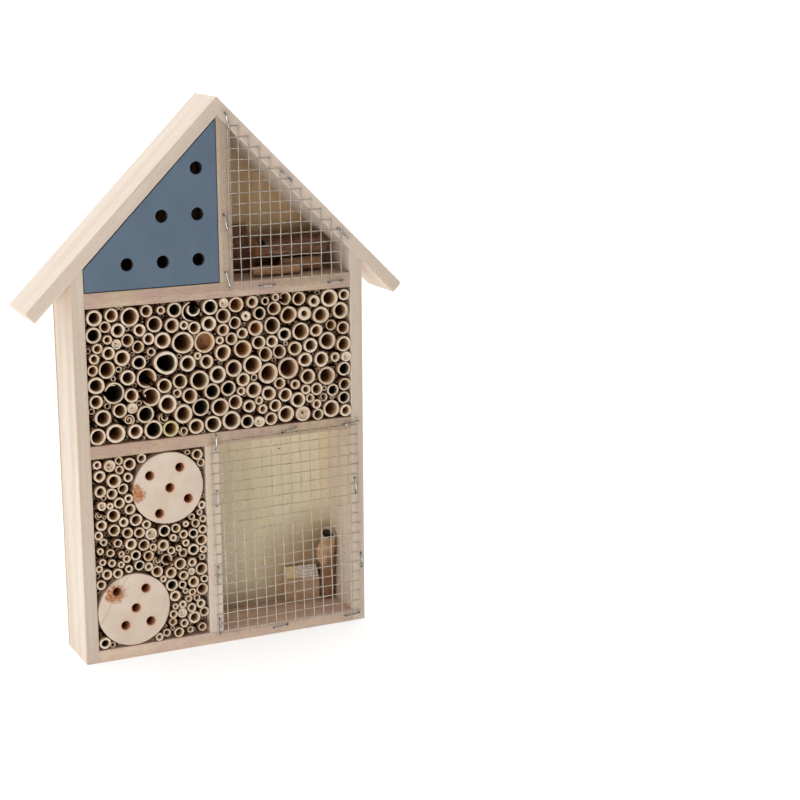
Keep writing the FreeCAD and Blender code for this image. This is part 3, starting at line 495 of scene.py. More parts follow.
def reed_material():
    """Dry reed: a pale fibrous cut, a straw-coloured skin and a brown bore, both painted darker inwards from
    the cut as shade.
    """
    reed = Material("reed", 0.6, Specular_IOR_Level=0.25)
    place = reed.position()
    depth = reed.attribute("depth")
    wall = reed.attribute("wall")
    tone = reed.attribute("tone")
    bore = reed.attribute("bore")
    fibre = reed.noise(reed.scaled(place, (2300.0, 60.0, 2300.0)), detail=2.0, rough=0.7)
    spots = reed.noise(reed.scaled(place, (420.0, 120.0, 420.0)), detail=3.0)
    cut = reed.mix(tone, srgb(246, 231, 212), srgb(228, 205, 180))
    cut = reed.mix(reed.ramp(spots, [(0.42, 0.0), (0.66, 0.5)]), cut, srgb(206, 182, 150))
    cut = reed.multiply(cut, reed.ramp(fibre, [(0.3, 0.82), (0.62, 1.0)]))
    skin = reed.mix(tone, srgb(214, 180, 146), srgb(170, 128, 94))
    # Painted shade: the skin darkens inwards between the reeds.
    skin = reed.mix(reed.ramp(depth, [(0.0, 0.0), (0.08, 0.45), (0.30, 0.9), (0.6, 1.0)]), skin,
                    srgb(82, 46, 30))
    cut = reed.mix(reed.ramp(wall, [(0.02, 0.6), (0.14, 0.0)]), cut, srgb(186, 164, 134))
    # Painted shade: the bore darkens with depth, most in the dark bores, least in the warm ones, which are
    # painted lighter as if lit.
    inside = reed.ramp(depth, [
        (0.00, srgb(234, 214, 186)), (0.12, srgb(212, 180, 144)), (0.45, srgb(160, 122, 90)),
        (1.0, srgb(100, 72, 52))])
    dark = reed.ramp(depth, [
        (0.00, srgb(200, 186, 160)), (0.06, srgb(128, 114, 92)), (0.25, srgb(74, 64, 52)),
        (1.0, srgb(34, 28, 24))])
    warm = reed.ramp(depth, [
        (0.00, srgb(236, 210, 176)), (0.2, srgb(216, 172, 130)), (0.6, srgb(182, 136, 98)),
        (1.0, srgb(136, 96, 66))])
    inside = reed.mix(reed.ramp(bore, [(0.5, 0.0), (1.0, 1.0)]), inside, dark)
    inside = reed.mix(reed.ramp(bore, [(0.0, 1.0), (0.12, 0.0)]), inside, warm)
    is_inside = reed.ramp(wall, [(0.86, 0.0), (0.99, 1.0)])
    is_outside = reed.ramp(wall, [(0.0, 1.0), (0.02, 0.0)])
    colour = reed.mix(is_inside, cut, inside)
    colour = reed.mix(is_outside, colour, skin)
    colour = reed.mix(reed.attribute("green"), colour, reed.multiply(colour, (0.84, 0.88, 0.62)))
    return reed.finish(colour, fibre, 0.4, 0.0002)


def bark_material(name, dark, mid, light, scale=1.0, knot=None, fresh_wood=srgb(190, 140, 96), shady=False):
    """Rough bark or weather-worn stick, with streaks along the grain.

    knot is the x and z of a dark knot hole. A shady stick is darker on its foot and its right side.
    """
    bark = Material(name, 0.85, Specular_IOR_Level=0.15)
    grain = bark.attribute("grain", "Vector")
    stretched = bark.scaled(grain, (0.7 * scale, 5.0 * scale, 5.0 * scale))
    ridges = bark.noise(stretched, detail=5.0, rough=0.65, distortion=0.6)
    grit = bark.noise(bark.scaled(grain, (9.0, 22.0, 22.0)), detail=4.0, rough=0.7)
    patches = bark.noise(bark.scaled(grain, (0.5, 1.3, 1.3)), detail=2.0)
    colour = bark.ramp(ridges, [(0.30, dark), (0.52, mid), (0.72, light)])
    colour = bark.mix(bark.ramp(patches, [(0.42, 0.0), (0.62, 0.6)]), colour, mid)
    colour = bark.multiply(colour, bark.ramp(grit, [(0.3, 0.72), (0.6, 1.0)]))
    if shady:
        place = bark.split(bark.position())
        slanted = bark.math("SUBTRACT", bark.math("MULTIPLY", place["X"], 1.7), place["Z"])
        uneven = bark.math("MULTIPLY", bark.math("SUBTRACT", grit, 0.5), 0.006)
        slanted = bark.math("SUBTRACT", bark.math("ADD", slanted, uneven), 0.098)
        shade = bark.ramp(bark.math("MULTIPLY", slanted, 100.0), [(0.1, 0.0), (0.9, 1.0)])
        colour = bark.mix(shade, colour, srgb(150, 116, 90))
    fresh = bark.multiply(fresh_wood, bark.ramp(grit, [(0.35, 0.72), (0.6, 1.0)]))
    colour = bark.mix(bark.ramp(bark.attribute("end"), [(0.5, 0.0), (0.9, 1.0)]), colour, fresh)
    hollow = bark.ramp(bark.attribute("hollow"), [(0.1, 0.0), (0.6, 1.0)])
    colour = bark.mix(hollow, colour, srgb(92, 86, 72))
    # Painted shade: the knot hole is painted near black on the surface, where the shape has no hole.
    if knot:
        flat = bark.scaled(bark.position(), (1000.0, 0.0, 1000.0))
        away = bark.distance_to(flat, (knot[0], 0, knot[1]))
        away = bark.math("ADD", away, bark.math("MULTIPLY", grit, 2.0))
        dark_hole = bark.ramp(bark.math("DIVIDE", away, 4.4), [(0.55, 1.0), (0.85, 0.0)])
        colour = bark.mix(dark_hole, colour, srgb(24, 18, 16))
    height = bark.math("ADD", ridges, bark.math("MULTIPLY", grit, 0.4))
    return bark.finish(colour, height, 0.8, 0.0008)


def block_material():
    """Split wood: yellow sapwood at one end, grey torn fibres at the other, brownish sawn faces."""
    wood = Material("split_wood", 0.8, Specular_IOR_Level=0.15)
    grain = wood.attribute("grain", "Vector")
    torn = wood.attribute("torn")
    fibres = wood.noise(wood.scaled(grain, (0.8, 16.0, 16.0)), detail=4.0, rough=0.7, distortion=0.5)
    clouds = wood.noise(wood.scaled(grain, (0.6, 0.9, 0.9)), detail=2.0)
    clouded = wood.ramp(clouds, [(0.35, 0.0), (0.65, 1.0)])
    sawn = wood.mix(clouded, srgb(214, 184, 156), srgb(194, 162, 134))
    rag = wood.ramp(fibres, [
        (0.3, srgb(196, 178, 164)), (0.5, srgb(244, 236, 228)), (0.7, srgb(252, 248, 244))])
    sawn = wood.mix(wood.attribute("sap"), sawn, srgb(246, 226, 182))
    sawn = wood.multiply(sawn, wood.ramp(fibres, [(0.28, 0.80), (0.55, 1.0)]))
    colour = wood.mix(torn, sawn, rag)
    return wood.finish(colour, fibres, 0.6, 0.0005)


def metal(name, bright, dull, roughness, metallic=0.75, flank_shade=0.0, shade_above=None):
    """Zinc-coated steel with cloudy dull patches.

    flank_shade is painted shade on the flanks that don't face the front. Above shade_above, in metres, the
    metal is painted darker as shade.
    """
    zinc = Material(name, roughness, Metallic=metallic)
    place = zinc.position()
    patches = zinc.noise(zinc.scaled(place, (260.0, 260.0, 260.0)), detail=3.0)
    fine = zinc.noise(zinc.scaled(place, (2400.0, 2400.0, 2400.0)), detail=2.0)
    colour = zinc.mix(zinc.ramp(patches, [(0.38, 0.0), (0.62, 1.0)]), bright, dull)
    # Painted shade on the upper part of the wire.
    if shade_above:
        above = zinc.math("SUBTRACT", zinc.split(place)["Z"], shade_above)
        above = zinc.ramp(zinc.math("MULTIPLY", above, 25.0), [(0.0, 0.0), (1.0, 1.0)])
        colour = zinc.mix(above, colour, zinc.multiply(colour, srgb(236, 229, 214)))
    # Painted shade on the flanks.
    if flank_shade:
        facing = zinc.split(zinc.node("ShaderNodeNewGeometry").outputs["Normal"])
        flank = zinc.ramp(zinc.math("MULTIPLY", facing["Y"], -1.0), [(0.45, flank_shade), (0.85, 0.0)])
        colour = zinc.mix(flank, colour, srgb(44, 42, 40))
    return zinc.finish(colour, fine, 0.2, 0.00005)


# ---- boards, panels and discs ----

def build_boards():
    panel_tones = srgb(233, 222, 210), srgb(216, 198, 178), srgb(223, 204, 193)
    light_tones = srgb(246, 234, 220), srgb(234, 216, 196), srgb(238, 218, 206)
    roof_tones = srgb(236, 224, 211), srgb(224, 206, 188), srgb(228, 210, 198)
    shelf_tones = srgb(216, 193, 168), srgb(194, 167, 143), srgb(197, 165, 153)
    base_tones = srgb(234, 208, 190), srgb(216, 186, 166), srgb(216, 184, 172)
    divider_tones = srgb(208, 190, 170), srgb(186, 162, 138), srgb(194, 170, 156)
    # The last value of each wood is the painted shade on its front edge.
    panel_wood = pine("panel_wood", *panel_tones, 0.35, 0.9, 0.86, (0.89, 0.85, 0.82))
    light_wood = pine("light_wood", *light_tones, 0.35, 0.7, 0.92, (0.76, 0.73, 0.69))
    upright_wood = pine("upright_wood", *panel_tones, 0.3, 0.7, 0.9, (1.0, 0.97, 0.93))
    roof_wood = pine("roof_wood", *roof_tones, 0.3, 0.6, 0.88, (0.91, 0.87, 0.84))
    shelf_wood = pine("shelf_wood", *shelf_tones, 0.75, 0.9, 0.68, (1.0, 1.0, 1.0))
    base_wood = pine("base_wood", *base_tones, 0.7, 0.8, 0.76, (1.0, 1.03, 0.98))
    divider_wood = pine("divider_wood", *divider_tones, 0.5, 0.9, 0.70, (1.0, 1.0, 1.0))

    def under_roof(x):
        return APEX - abs(x)

    for side, name in ((-1, "left_side_panel"), (1, "right_side_panel")):
        outline = [(side * HALF_WIDTH, 0), (side * ROOM_HALF, 0),
                   (side * ROOM_HALF, under_roof(ROOM_HALF)), (side * HALF_WIDTH, under_roof(HALF_WIDTH))]
        board(name, outline, panel_wood if side < 0 else light_wood, 90, 3 + side)
    for seed, name in enumerate(("bottom_board", "middle_shelf", "upper_shelf"), 10):
        low, high = node_box(name)
        outline = [(low.x, low.z), (high.x, low.z), (high.x, high.z), (low.x, high.z)]
        board(name, outline, base_wood if name == "bottom_board" else shelf_wood, 0, seed, edge=0.4)
    low, high = node_box("lower_divider")
    board("lower_divider", [(low.x, low.z), (high.x, low.z), (high.x, high.z), (low.x, high.z)],
          upright_wood, 90, 20, edge=0.4)
    left, right = ROOF_DIVIDER_LEFT, ROOF_DIVIDER_RIGHT
    pointed = [(left, UPPER_HIGH), (right, UPPER_HIGH), (right, under_roof(right)), (0, APEX),
               (left, under_roof(left))]
    board("roof_divider", pointed, divider_wood, 90, 21, edge=0.3)
    step = (ROOF_TOP - APEX) / 2  # a roof board's thickness, divided by the root of two
    eave_z = under_roof(HALF_WIDTH) + HALF_WIDTH - (EAVE_X - step)
    low_x = EAVE_X - step
    left_board = [(-low_x, eave_z), (step, APEX + step), (0, ROOF_TOP), (-EAVE_X, eave_z + step)]
    right_board = [(0, APEX), (low_x, eave_z), (EAVE_X, eave_z + step), (step, APEX + step)]
    board("left_roof_board", rounded(left_board, {0: 0.8, 3: 2.2, 2: 0.8}), roof_wood, 45, 30, edge=0.6)
    board("right_roof_board", rounded(right_board, {1: 0.8, 2: 2.2}), roof_wood, -45, 31, edge=0.6)


def fill_flat(shape, loops, normal_y):
    """Triangles over a flat outline with holes in it. Each loop is a list of point indices."""
    flat = bmesh.new()
    index_of = []
    for loop in loops:
        made = [flat.verts.new(shape.points[index]) for index in loop]
        index_of += loop
        for i, vertex in enumerate(made):
            flat.edges.new((vertex, made[(i + 1) % len(made)]))
    bmesh.ops.triangle_fill(
        flat, use_beauty=True, use_dissolve=False, edges=flat.edges[:], normal=(0, normal_y, 0))
    flat.verts.index_update()
    shape.faces += [[index_of[vertex.index] for vertex in face.verts] for face in flat.faces]
    flat.free()


def add_plate(shape, outline, holes, low_y, high_y, ease, hole_end=None, segments=28):
    """A flat plate seen from the front, with round holes: each hole is x, z and radius.

    The holes go through, or end at hole_end.
    """
    def circle(x, z, radius):
        angles = [2 * math.pi * i / segments for i in range(segments)]
        return [(x + radius * math.cos(angle), z + radius * math.sin(angle)) for angle in angles]

    loops = [
        [shape.add((x, low_y, z), inside=0.0, rim=0.0) for x, z in points]
        for points in [outline] + [circle(*hole) for hole in holes]]
    fill_flat(shape, loops, -1)
    centre = Vector([sum(values) / len(outline) for values in zip(*outline)])
    edge_rows = [loops[0]]
    for y, grow, rim in ((low_y + ease, ease, 0.5), (high_y, ease, 1.0)):
        row = []
        for x, z in outline:
            out = (Vector((x, z)) - centre).normalized() * grow
            row.append(shape.add((x + out.x, y, z + out.y), inside=0.0, rim=rim))
        edge_rows.append(row)
    shape.loft(edge_rows)
    stop = high_y if hole_end is None else hole_end
    ends = []
    for (x, z, radius), mouth in zip(holes, loops[1:]):
        rows = [mouth]
        for share in (0.0, 0.12, 0.4, 1.0):
            y = low_y + 0.3 + (stop - low_y - 0.3) * share
            rows.append([
                shape.add((wall_x, y, wall_z), inside=0.1 + 0.9 * share, rim=0.0)
                for wall_x, wall_z in circle(x, z, radius - 0.15)])
        shape.loft(rows)
        ends.append(rows[-1])
    if hole_end is None:
        fill_flat(shape, [edge_rows[-1]] + ends, 1)
    else:
        shape.faces.append(tuple(reversed(edge_rows[-1])))
        shape.faces += [tuple(end) for end in ends]


RELIEF_RADIUS = 5.5  # behind the hole of the hanger plate


def build_back_panel():
    low, high = node_box("back_panel")
    eave = high.z - HALF_WIDTH
    plate_low, plate_high = node_box("hanger_plate")
    relief = ((plate_low.x + plate_high.x) / 2, (plate_low.z + plate_high.z) / 2, RELIEF_RADIUS)
    shape = Shape()
    inset = 0.3
    side = HALF_WIDTH - inset
    outline = [(-side, inset), (side, inset), (side, eave), (0, high.z - inset), (-side, eave)]
    add_plate(shape, outline, [relief], low.y, high.y, ease=0.15)
    shape.marks["grain"] = [Vector((point.z, point.x, point.y)) * GRAIN_UNIT for point in shape.points]
    make_piece("back_panel_ply", shape, plywood(), ["back_panel"])


BLUE_HOLE_RADIUS = 4.3
BLUE_HOLES = ((-62.6, 261.5), (-38.8, 261.5), (-14.8, 261.5), (-38.8, 290.7), (-14.8, 290.7), (-14.8, 320.0))


def build_blue_panel():
    low, high = node_box("blue_front_panel")
    slant = high.z - high.x
    shape = Shape()
    inset = 0.25
    outline = [(low.x + inset, low.z + inset), (high.x - inset, low.z + inset),
               (high.x - inset, high.z - inset * 2), (low.x + inset, low.x + slant - inset)]
    holes = [(x, z, BLUE_HOLE_RADIUS) for x, z in BLUE_HOLES]
    add_plate(shape, outline, holes, low.y, high.y, ease=0.25, segments=36)
    make_piece("blue_front_panel_painted", shape, blue_paint(), ["blue_front_panel"])


DISC_HOLE_RADIUS = 3.25
DISC_HOLE_DEPTH = 33.9
UPPER_DISC_HOLES = ((-12.4, 9.8), (8.3, 13.1), (1.1, 0.1), (13.5, -8.8), (-6.6, -16.5))
LOWER_DISC_HOLES = ((-11.1, 13.7), (8.3, 13.5), (1.3, 0.9), (-6.3, -10.1), (11.0, -9.7))


def build_disc(node, holes, pith, knots, cracks, seed):
    low, high = node_box(node)
    centre = ((low.x + high.x) / 2, (low.z + high.z) / 2)
    radius = (high.x - low.x) / 2
    outline = []
    for i in range(120):
        angle = 2 * math.pi * i / 120
        spoke = Vector((math.cos(angle), math.sin(angle)))
        uneven = noise.noise(Vector((spoke.x * 1.3, spoke.y * 1.3, seed))) * 0.5
        grow = radius - 0.75 + uneven
        outline.append((centre[0] + spoke.x * grow, centre[1] + spoke.y * grow))
    shape = Shape()
    drilled = [(centre[0] + x, centre[1] + z, DISC_HOLE_RADIUS) for x, z in holes]
    add_plate(shape, outline, drilled, low.y + 0.05, high.y, hole_end=low.y + DISC_HOLE_DEPTH, ease=0.45)
    material = log_end(node + "_end_grain", centre, pith, holes, knots, cracks)
    make_piece(node + "_wood", shape, material, [node])


# ---- reeds ----

# Reeds that are not plain rings: x and z near the reed, then what it is.
ODD_REEDS = (
    (-20, 228, "nested"), (-52, 187, "split_right"), (-50, 175, "split_left"), (-74, 180, "hooked"),
    (-65, 161, "spiral"), (-42, 160, "nested"), (-28, 150, "curled"), (-62, 169, "pith"), (-71, 211, "pith"),
    (45, 231, "split_left"), (1, 232, "pith"), (25, 150, "pith"), (56, 152, "pith_rough"), (88, 188, "pith"),
    (77, 210, "thin"), (72, 162, "curled"), (-43, 64, "split_right"), (-50, 64, "nested"), (-33, 25, "pith"),
    (-79, 132, "pith_rough"), (-86, 107, "pith_rough"), (-88, 100, "nested"), (-53, 83, "pith_rough"),
    (-26, 53, "pith"), (47, 220, "torn"), (32, 168, "torn"), (0, 199, "torn"), (-39, 196, "torn"),
    (17, 222, "thick"), (58, 220, "thick"), (65, 228, "thick"), (-12, 207, "plugged"),
)
PLACE_REACH = 3.0  # how far a reed's centre may be from the place that names it
# Reeds whose bores get the darkest painted shade.
DARK_REEDS = (
    (-86, 218), (-57, 198), (-54, 164), (-49, 153), (-16, 164), (-32, 230), (-8, 230), (-39, 196),
    (-75, 180), (26, 223), (30, 231), (16, 151), (86, 180), (78, 166), (86, 160), (44, 207), (-24, 79),
    (-24, 68), (-87, 13), (-17, 47), (-33, 45), (-64, 70), (-62, 63), (-8, 174), (5, 175), (-20, 228),
    (-45, 84), (-40, 46),
)
# Reeds whose bores are painted lighter and warmer, as painted light.
WARM_REEDS = ((-12, 207), (-74, 230), (-41, 231), (14, 200), (23, 213), (10, 230))
GREEN_REED = (-37, 152)


def near(x, z, place):
    return math.hypot(x - place[0], z - place[1]) < PLACE_REACH


def ring_line(x, z, radius, chance, sweep, wobble, turns_in=0.0):
    """Points of a reed's mid-wall, with a slightly uneven outline. turns_in makes it a spiral."""
    count = max(14, int(radius * 4.4))
    full = sweep[1] - sweep[0] >= 360 and not turns_in
    count = max(6, int(count * (sweep[1] - sweep[0]) / 360))
    phases = [chance.uniform(0, 2 * math.pi) for _ in range(3)]
    line = []
    for i in range(count + (0 if full else 1)):
        share = i / count
        angle = math.radians(sweep[0] + (sweep[1] - sweep[0]) * share)
        uneven = 1 + wobble * (math.sin(2 * angle + phases[0]) + 0.5 * math.sin(3 * angle + phases[1]))
        reach = radius * uneven * (1 - turns_in * share)
        line.append((Vector((x + reach * math.cos(angle), z + reach * math.sin(angle))),
                     Vector((math.cos(angle), math.sin(angle)))))
    return line, full


# Painted shade in the reeds deepens over this depth from the cut.
PROFILE_DEPTH = 18.0  # where the bore's colour reaches its darkest


def add_reed(shape, line, closed, thickness, low_y, high_y, chance, tone, bore, green=0.0):
    """A wall that follows a line in X and Z from low_y to high_y, with an eased and slightly rough cut."""
    lean_x, lean_z = chance.gauss(0, 0.035), chance.gauss(0, 0.035)
    middle = sum((point for point, _ in line), Vector((0, 0))) / len(line)
    ease = min(0.28, thickness * 0.3)
    columns = []
    for index, (point, out) in enumerate(line):
        half = thickness / 2 * (1 + chance.uniform(-0.08, 0.08))
        if not closed:
            half *= min(1.0, 0.45 + 0.4 * min(index, len(line) - 1 - index))
        tilt = lean_x * (point.x - middle.x) + lean_z * (point.y - middle.y)
        front = max(low_y + tilt + chance.uniform(-0.08, 0.08), FRONT - 1.0)
        # A station across the wall is its offset from the line, its y, and its share from skin to bore.
        stations = (
            (half, high_y, 0.0), (half, front + 5, 0.0), (half, front + ease, 0.0),
            (half - ease, front, 0.18), (0.0, front + 0.04, 0.5), (-half + ease, front, 0.82),
            (-half, front + ease, 1.0), (-half, front + 2.5, 1.0), (-half, front + 8, 1.0),
            (-half, high_y, 1.0))
        column = []
        for offset, y, wall in stations:
            place = point + out * offset
            depth = min(1.0, max(0.0, (y - front) / PROFILE_DEPTH))
            column.append(shape.add(
                (place.x, y, place.y), depth=depth, wall=wall, tone=tone, bore=bore, green=green))
        columns.append(column)
    pairs = list(zip(columns, columns[1:]))
    if closed:
        pairs.append((columns[-1], columns[0]))
    else:
        shape.faces.append(tuple(columns[0]))
        shape.faces.append(tuple(reversed(columns[-1])))
    for first, second in pairs:
        shape.bridge(first, second, closed=False)


def add_pith(shape, x, z, radius, y, chance, tone, hole, bumps, wall=0.4, depth=0.0):
    """Pith that fills a reed near its mouth. hole is the radius of the small bore left in it."""
    bore = 0.5 if wall < 1 else 0.0
    count = 18
    shift = Vector((chance.uniform(-0.25, 0.25), chance.uniform(-0.25, 0.25))) * (radius - hole)
    rows = []
    for share in (1.0, 0.8, 0.6, 0.4, 0.2, 0.0):
        reach = hole + (radius - hole) * share
        centre = Vector((x, z)) + shift * (1 - share)
        rows.append([
            shape.add((centre.x + reach * math.cos(2 * math.pi * i / count),
                       y + chance.uniform(-bumps, bumps) + (0.3 if share == 0 else 0),
                       centre.y + reach * math.sin(2 * math.pi * i / count)),
                      depth=depth, wall=wall, tone=tone, bore=bore, green=0.0)
            for i in range(count)])
    deep = [shape.add((shape.points[index].x, y + 8, shape.points[index].z),
                      depth=0.9, wall=1.0, tone=tone, bore=1.0, green=0.0) for index in rows[-1]]
    shape.loft(rows + [deep])
    shape.faces.append(tuple(deep))


def style_of(x, z):
    for place_x, place_z, style in ODD_REEDS:
        if near(x, z, (place_x, place_z)):
            return style
    return "plain"


# How each kind of broken reed is made of arcs. Each arc is its first and last angle, its size, its wall,
# how far it is shifted right and up, and how far it turns inwards.
ARCS = {
    "split_right": ((-25, 290, 0.93, 0.17, 0, 0, 0),),
    "split_left": ((-150, 150, 0.93, 0.17, 0, 0, 0), (148, 175, 0.66, 0.12, -0.1, 0, 0.2)),
    "hooked": ((-168, 130, 0.93, 0.17, 0, 0, 0), (62, 172, 0.62, 0.16, -0.16, 0.16, 0.0)),
    "curled": ((-190, 250, 0.93, 0.18, 0, 0, 0.45),),
    "spiral": ((-60, 560, 0.93, 0.16, 0, 0, 0.75),),
    "nested": ((98, 275, 0.95, 0.13, -0.05, 0, 0), (140, 362, 0.60, 0.20, 0.16, 0.18, 0)),
}


def add_styled_reed(shape, x, z, outer, inner, low_y, high_y, chance):
    style = style_of(x, z)
    wall = (outer - inner) * 1.12
    tone = min(1.0, max(0.0, chance.gauss(0.4, 0.3)))
    bore = chance.uniform(0.2, 0.7)
    if any(near(x, z, place) for place in DARK_REEDS):
        bore = 1.0
    if any(near(x, z, place) for place in WARM_REEDS):
        bore = 0.0
    green = 1.0 if near(x, z, GREEN_REED) else 0.0
    if style in ARCS:
        for first, last, size, thickness, right, up, inwards in ARCS[style]:
            line, closed = ring_line(
                x + outer * right, z + outer * up, outer * size, chance, (first, last), 0.01, inwards)
            start = low_y + 0.4 * abs(right)
            add_reed(shape, line, closed, outer * thickness, start, high_y, chance, tone, bore, green)
        return
    if style == "thick":
        wall *= 1.6
    if style == "thin":
        wall *= 0.5
    wobble = 0.05 if style == "torn" else chance.uniform(0.0, 0.03)
    radius = (outer - wall / 2) * (1 - wobble)
    line, closed = ring_line(x, z, radius, chance, (0, 360), wobble)
    add_reed(shape, line, closed, wall, low_y, high_y, chance, tone, bore, green)
    hollow = outer - wall
    if style == "pith":
        start = low_y + chance.uniform(0.9, 1.5)
        add_pith(shape, x, z, hollow + 0.1, start, chance, 0.15, hollow * 0.28, 0.12)
    if style == "pith_rough":
        add_pith(shape, x, z, hollow + 0.1, low_y + 1.4, chance, 0.8, hollow * 0.3, 0.5)
    if style == "plugged":
        add_pith(shape, x, z, hollow + 0.1, low_y + 5.5, chance, 0.5, 0.25, 0.6, 1.0, 0.95)
    if style == "torn":
        angle = chance.uniform(20, 120)
        line, closed = ring_line(x, z, hollow - 0.4, chance, (angle, angle + 50), 0.05)
        add_reed(shape, line, closed, 0.7, low_y + 0.5, low_y + 9, chance, 0.1, 0.5)


def reeds_in(node):
    """Each reed of a bundle: x, z, outer radius, inner radius, and where it starts and ends."""
    found = []
    for points in solids_of(node):
        low_x, high_x = span(points, 0)
        low_z, high_z = span(points, 2)
        low_y, high_y = span(points, 1)
        x, z = (low_x + high_x) / 2, (low_z + high_z) / 2
        inner = min(math.hypot(point.x - x, point.z - z) for point in points)
        found.append((x, z, (high_x - low_x) / 2, inner, low_y, high_y))
    return sorted(found)


def build_reeds(material):
    everything = []
    for node in sorted(name for name in NODES if "_reeds_" in name):
        chance = random.Random(node)
        shape = Shape()
        for x, z, outer, inner, low_y, high_y in reeds_in(node):
            push = chance.gauss(0.0, 0.55)
            start = max(low_y + push, FRONT - 0.9)
            add_styled_reed(shape, x, z, outer - 0.03, inner, start, high_y, chance)
            everything.append((x, z, outer))
        make_piece(node + "_stalks", shape, material, [node], smooth_below=60)
    return everything


def free_space(x, z, room, rounds):
    """Distance from a point to the nearest wall or round thing."""
    left, right, floor, ceiling = room
    free = min(x - left, right - x, z - floor, ceiling - z)
    for other_x, other_z, radius in rounds:
        free = min(free, math.hypot(x - other_x, z - other_z) - radius)
        if free <= 0:
            return free
    return free


GAP_TRIES = 9000
SMALLEST_GAP = 0.45  # radius of the thinnest straw between the reeds


def build_filler(name, room, rounds, material, seed):
    """Thin straws, curls and slivers in the gaps between the reeds."""
    chance = random.Random(seed)
    left, right, floor, ceiling = room
    spots = []
    for _ in range(GAP_TRIES):
        x, z = chance.uniform(left, right), chance.uniform(floor, ceiling)
        free = free_space(x, z, room, rounds)
        if free > SMALLEST_GAP:
            spots.append((free, x, z))
    spots.sort(reverse=True)
    shape = Shape()
    placed = []
    for free, x, z in spots:
        for other_x, other_z, radius in placed:
            free = min(free, math.hypot(x - other_x, z - other_z) - radius)
        if free < SMALLEST_GAP:
            continue
        start = FRONT + 1.6 + 7.0 * chance.random() ** 0.8
        tone = chance.uniform(0.3, 1.0)
        if free > 1.0 and chance.random() < 0.55:
            line, closed = ring_line(x, z, free * 0.78, chance, (0, 360), 0.06)
            add_reed(shape, line, closed, free * 0.34, start - 0.8, BACK - 1, chance, tone, 0.9)
            reach = free
        elif free > 0.7 and chance.random() < 0.5:
            first = chance.uniform(0, 360)
            sweep = (first, first + chance.uniform(120, 250))
            line, closed = ring_line(x, z, free * 0.8, chance, sweep, 0.05)
            add_reed(shape, line, closed, 0.32, start, BACK - 1, chance, tone, 0.5)
            reach = free * 0.8
        else:
            angle = chance.uniform(0, math.pi)
            run = Vector((math.cos(angle), math.sin(angle)))
            side = Vector((-run.y, run.x))
            bend = chance.uniform(-0.4, 0.4)
            line = [(Vector((x, z)) + run * free * t + side * bend * (t * t - 0.5), side)
                    for t in (-0.95, -0.5, 0.0, 0.5, 0.95)]
            add_reed(shape, line, False, 0.3, start, BACK - 1, chance, tone, 0.3)
            reach = free * 0.5
        placed.append((x, z, reach))
    make_piece(name, shape, material, smooth_below=60)


# ---- bark, sticks and block ----

def add_log(shape, start, end, radius, seed, rough, hole):
    """A rough log between two points. Its ends are marked as fresh wood, and the first may be bored."""
    axis = end - start
    length = axis.length
    direction = axis.normalized()
    first = direction.orthogonal().normalized()
    second = direction.cross(first)
    steps = max(8, int(length / 1.2))
    sides = 40
    rows = []

    def grain_at(run, angle, reach):
        along_grain = Vector((run, reach * math.cos(angle), reach * math.sin(angle))) * GRAIN_UNIT
        return along_grain + Vector((seed, seed, seed))

    for step in range(steps + 1):
        share = step / steps
        row = []
        for side in range(sides):
            angle = 2 * math.pi * side / sides
            where = Vector((share * length * 0.12, math.cos(angle) * 2.4, math.sin(angle) * 2.4 + seed))
            lump = noise.noise(where) * rough + noise.noise(where * 3.1) * rough * 0.45
            end_ease = 0.25 if step in (0, steps) else 0.0
            reach = radius - rough * 0.6 + lump - end_ease
            spoke = first * math.cos(angle) + second * math.sin(angle)
            row.append(shape.add(start + direction * share * length + spoke * reach,
                                 grain=grain_at(share * length, angle, reach), end=0.0))
        rows.append(row)
    shape.loft(rows)
    for row, inward, run, bored in ((rows[0], 1, 0.0, hole), (rows[-1], -1, length, 0.0)):
        centre = start if inward == 1 else end
        previous = [
            shape.add(shape.points[index], grain=shape.marks["grain"][index], end=1.0) for index in row]
        for share in (0.7, 0.45, 0.25):
            ring = []
            for side, index in enumerate(row):
                angle = 2 * math.pi * side / sides
                point = centre + (shape.points[index] - centre) * max(share, bored)
                push = direction * inward * noise.noise(point * 0.6) * 0.25
                ring.append(shape.add(point + push, grain=grain_at(run, angle, radius * share), end=1.0))
            shape.bridge(previous, ring)
            previous = ring
        if bored:
            deep = [
                shape.add(shape.points[index] + direction * 6, grain=shape.marks["grain"][index], end=0.0)
                for index in previous]
            shape.bridge(previous, deep)
            previous = deep
        shape.faces.append(tuple(previous))


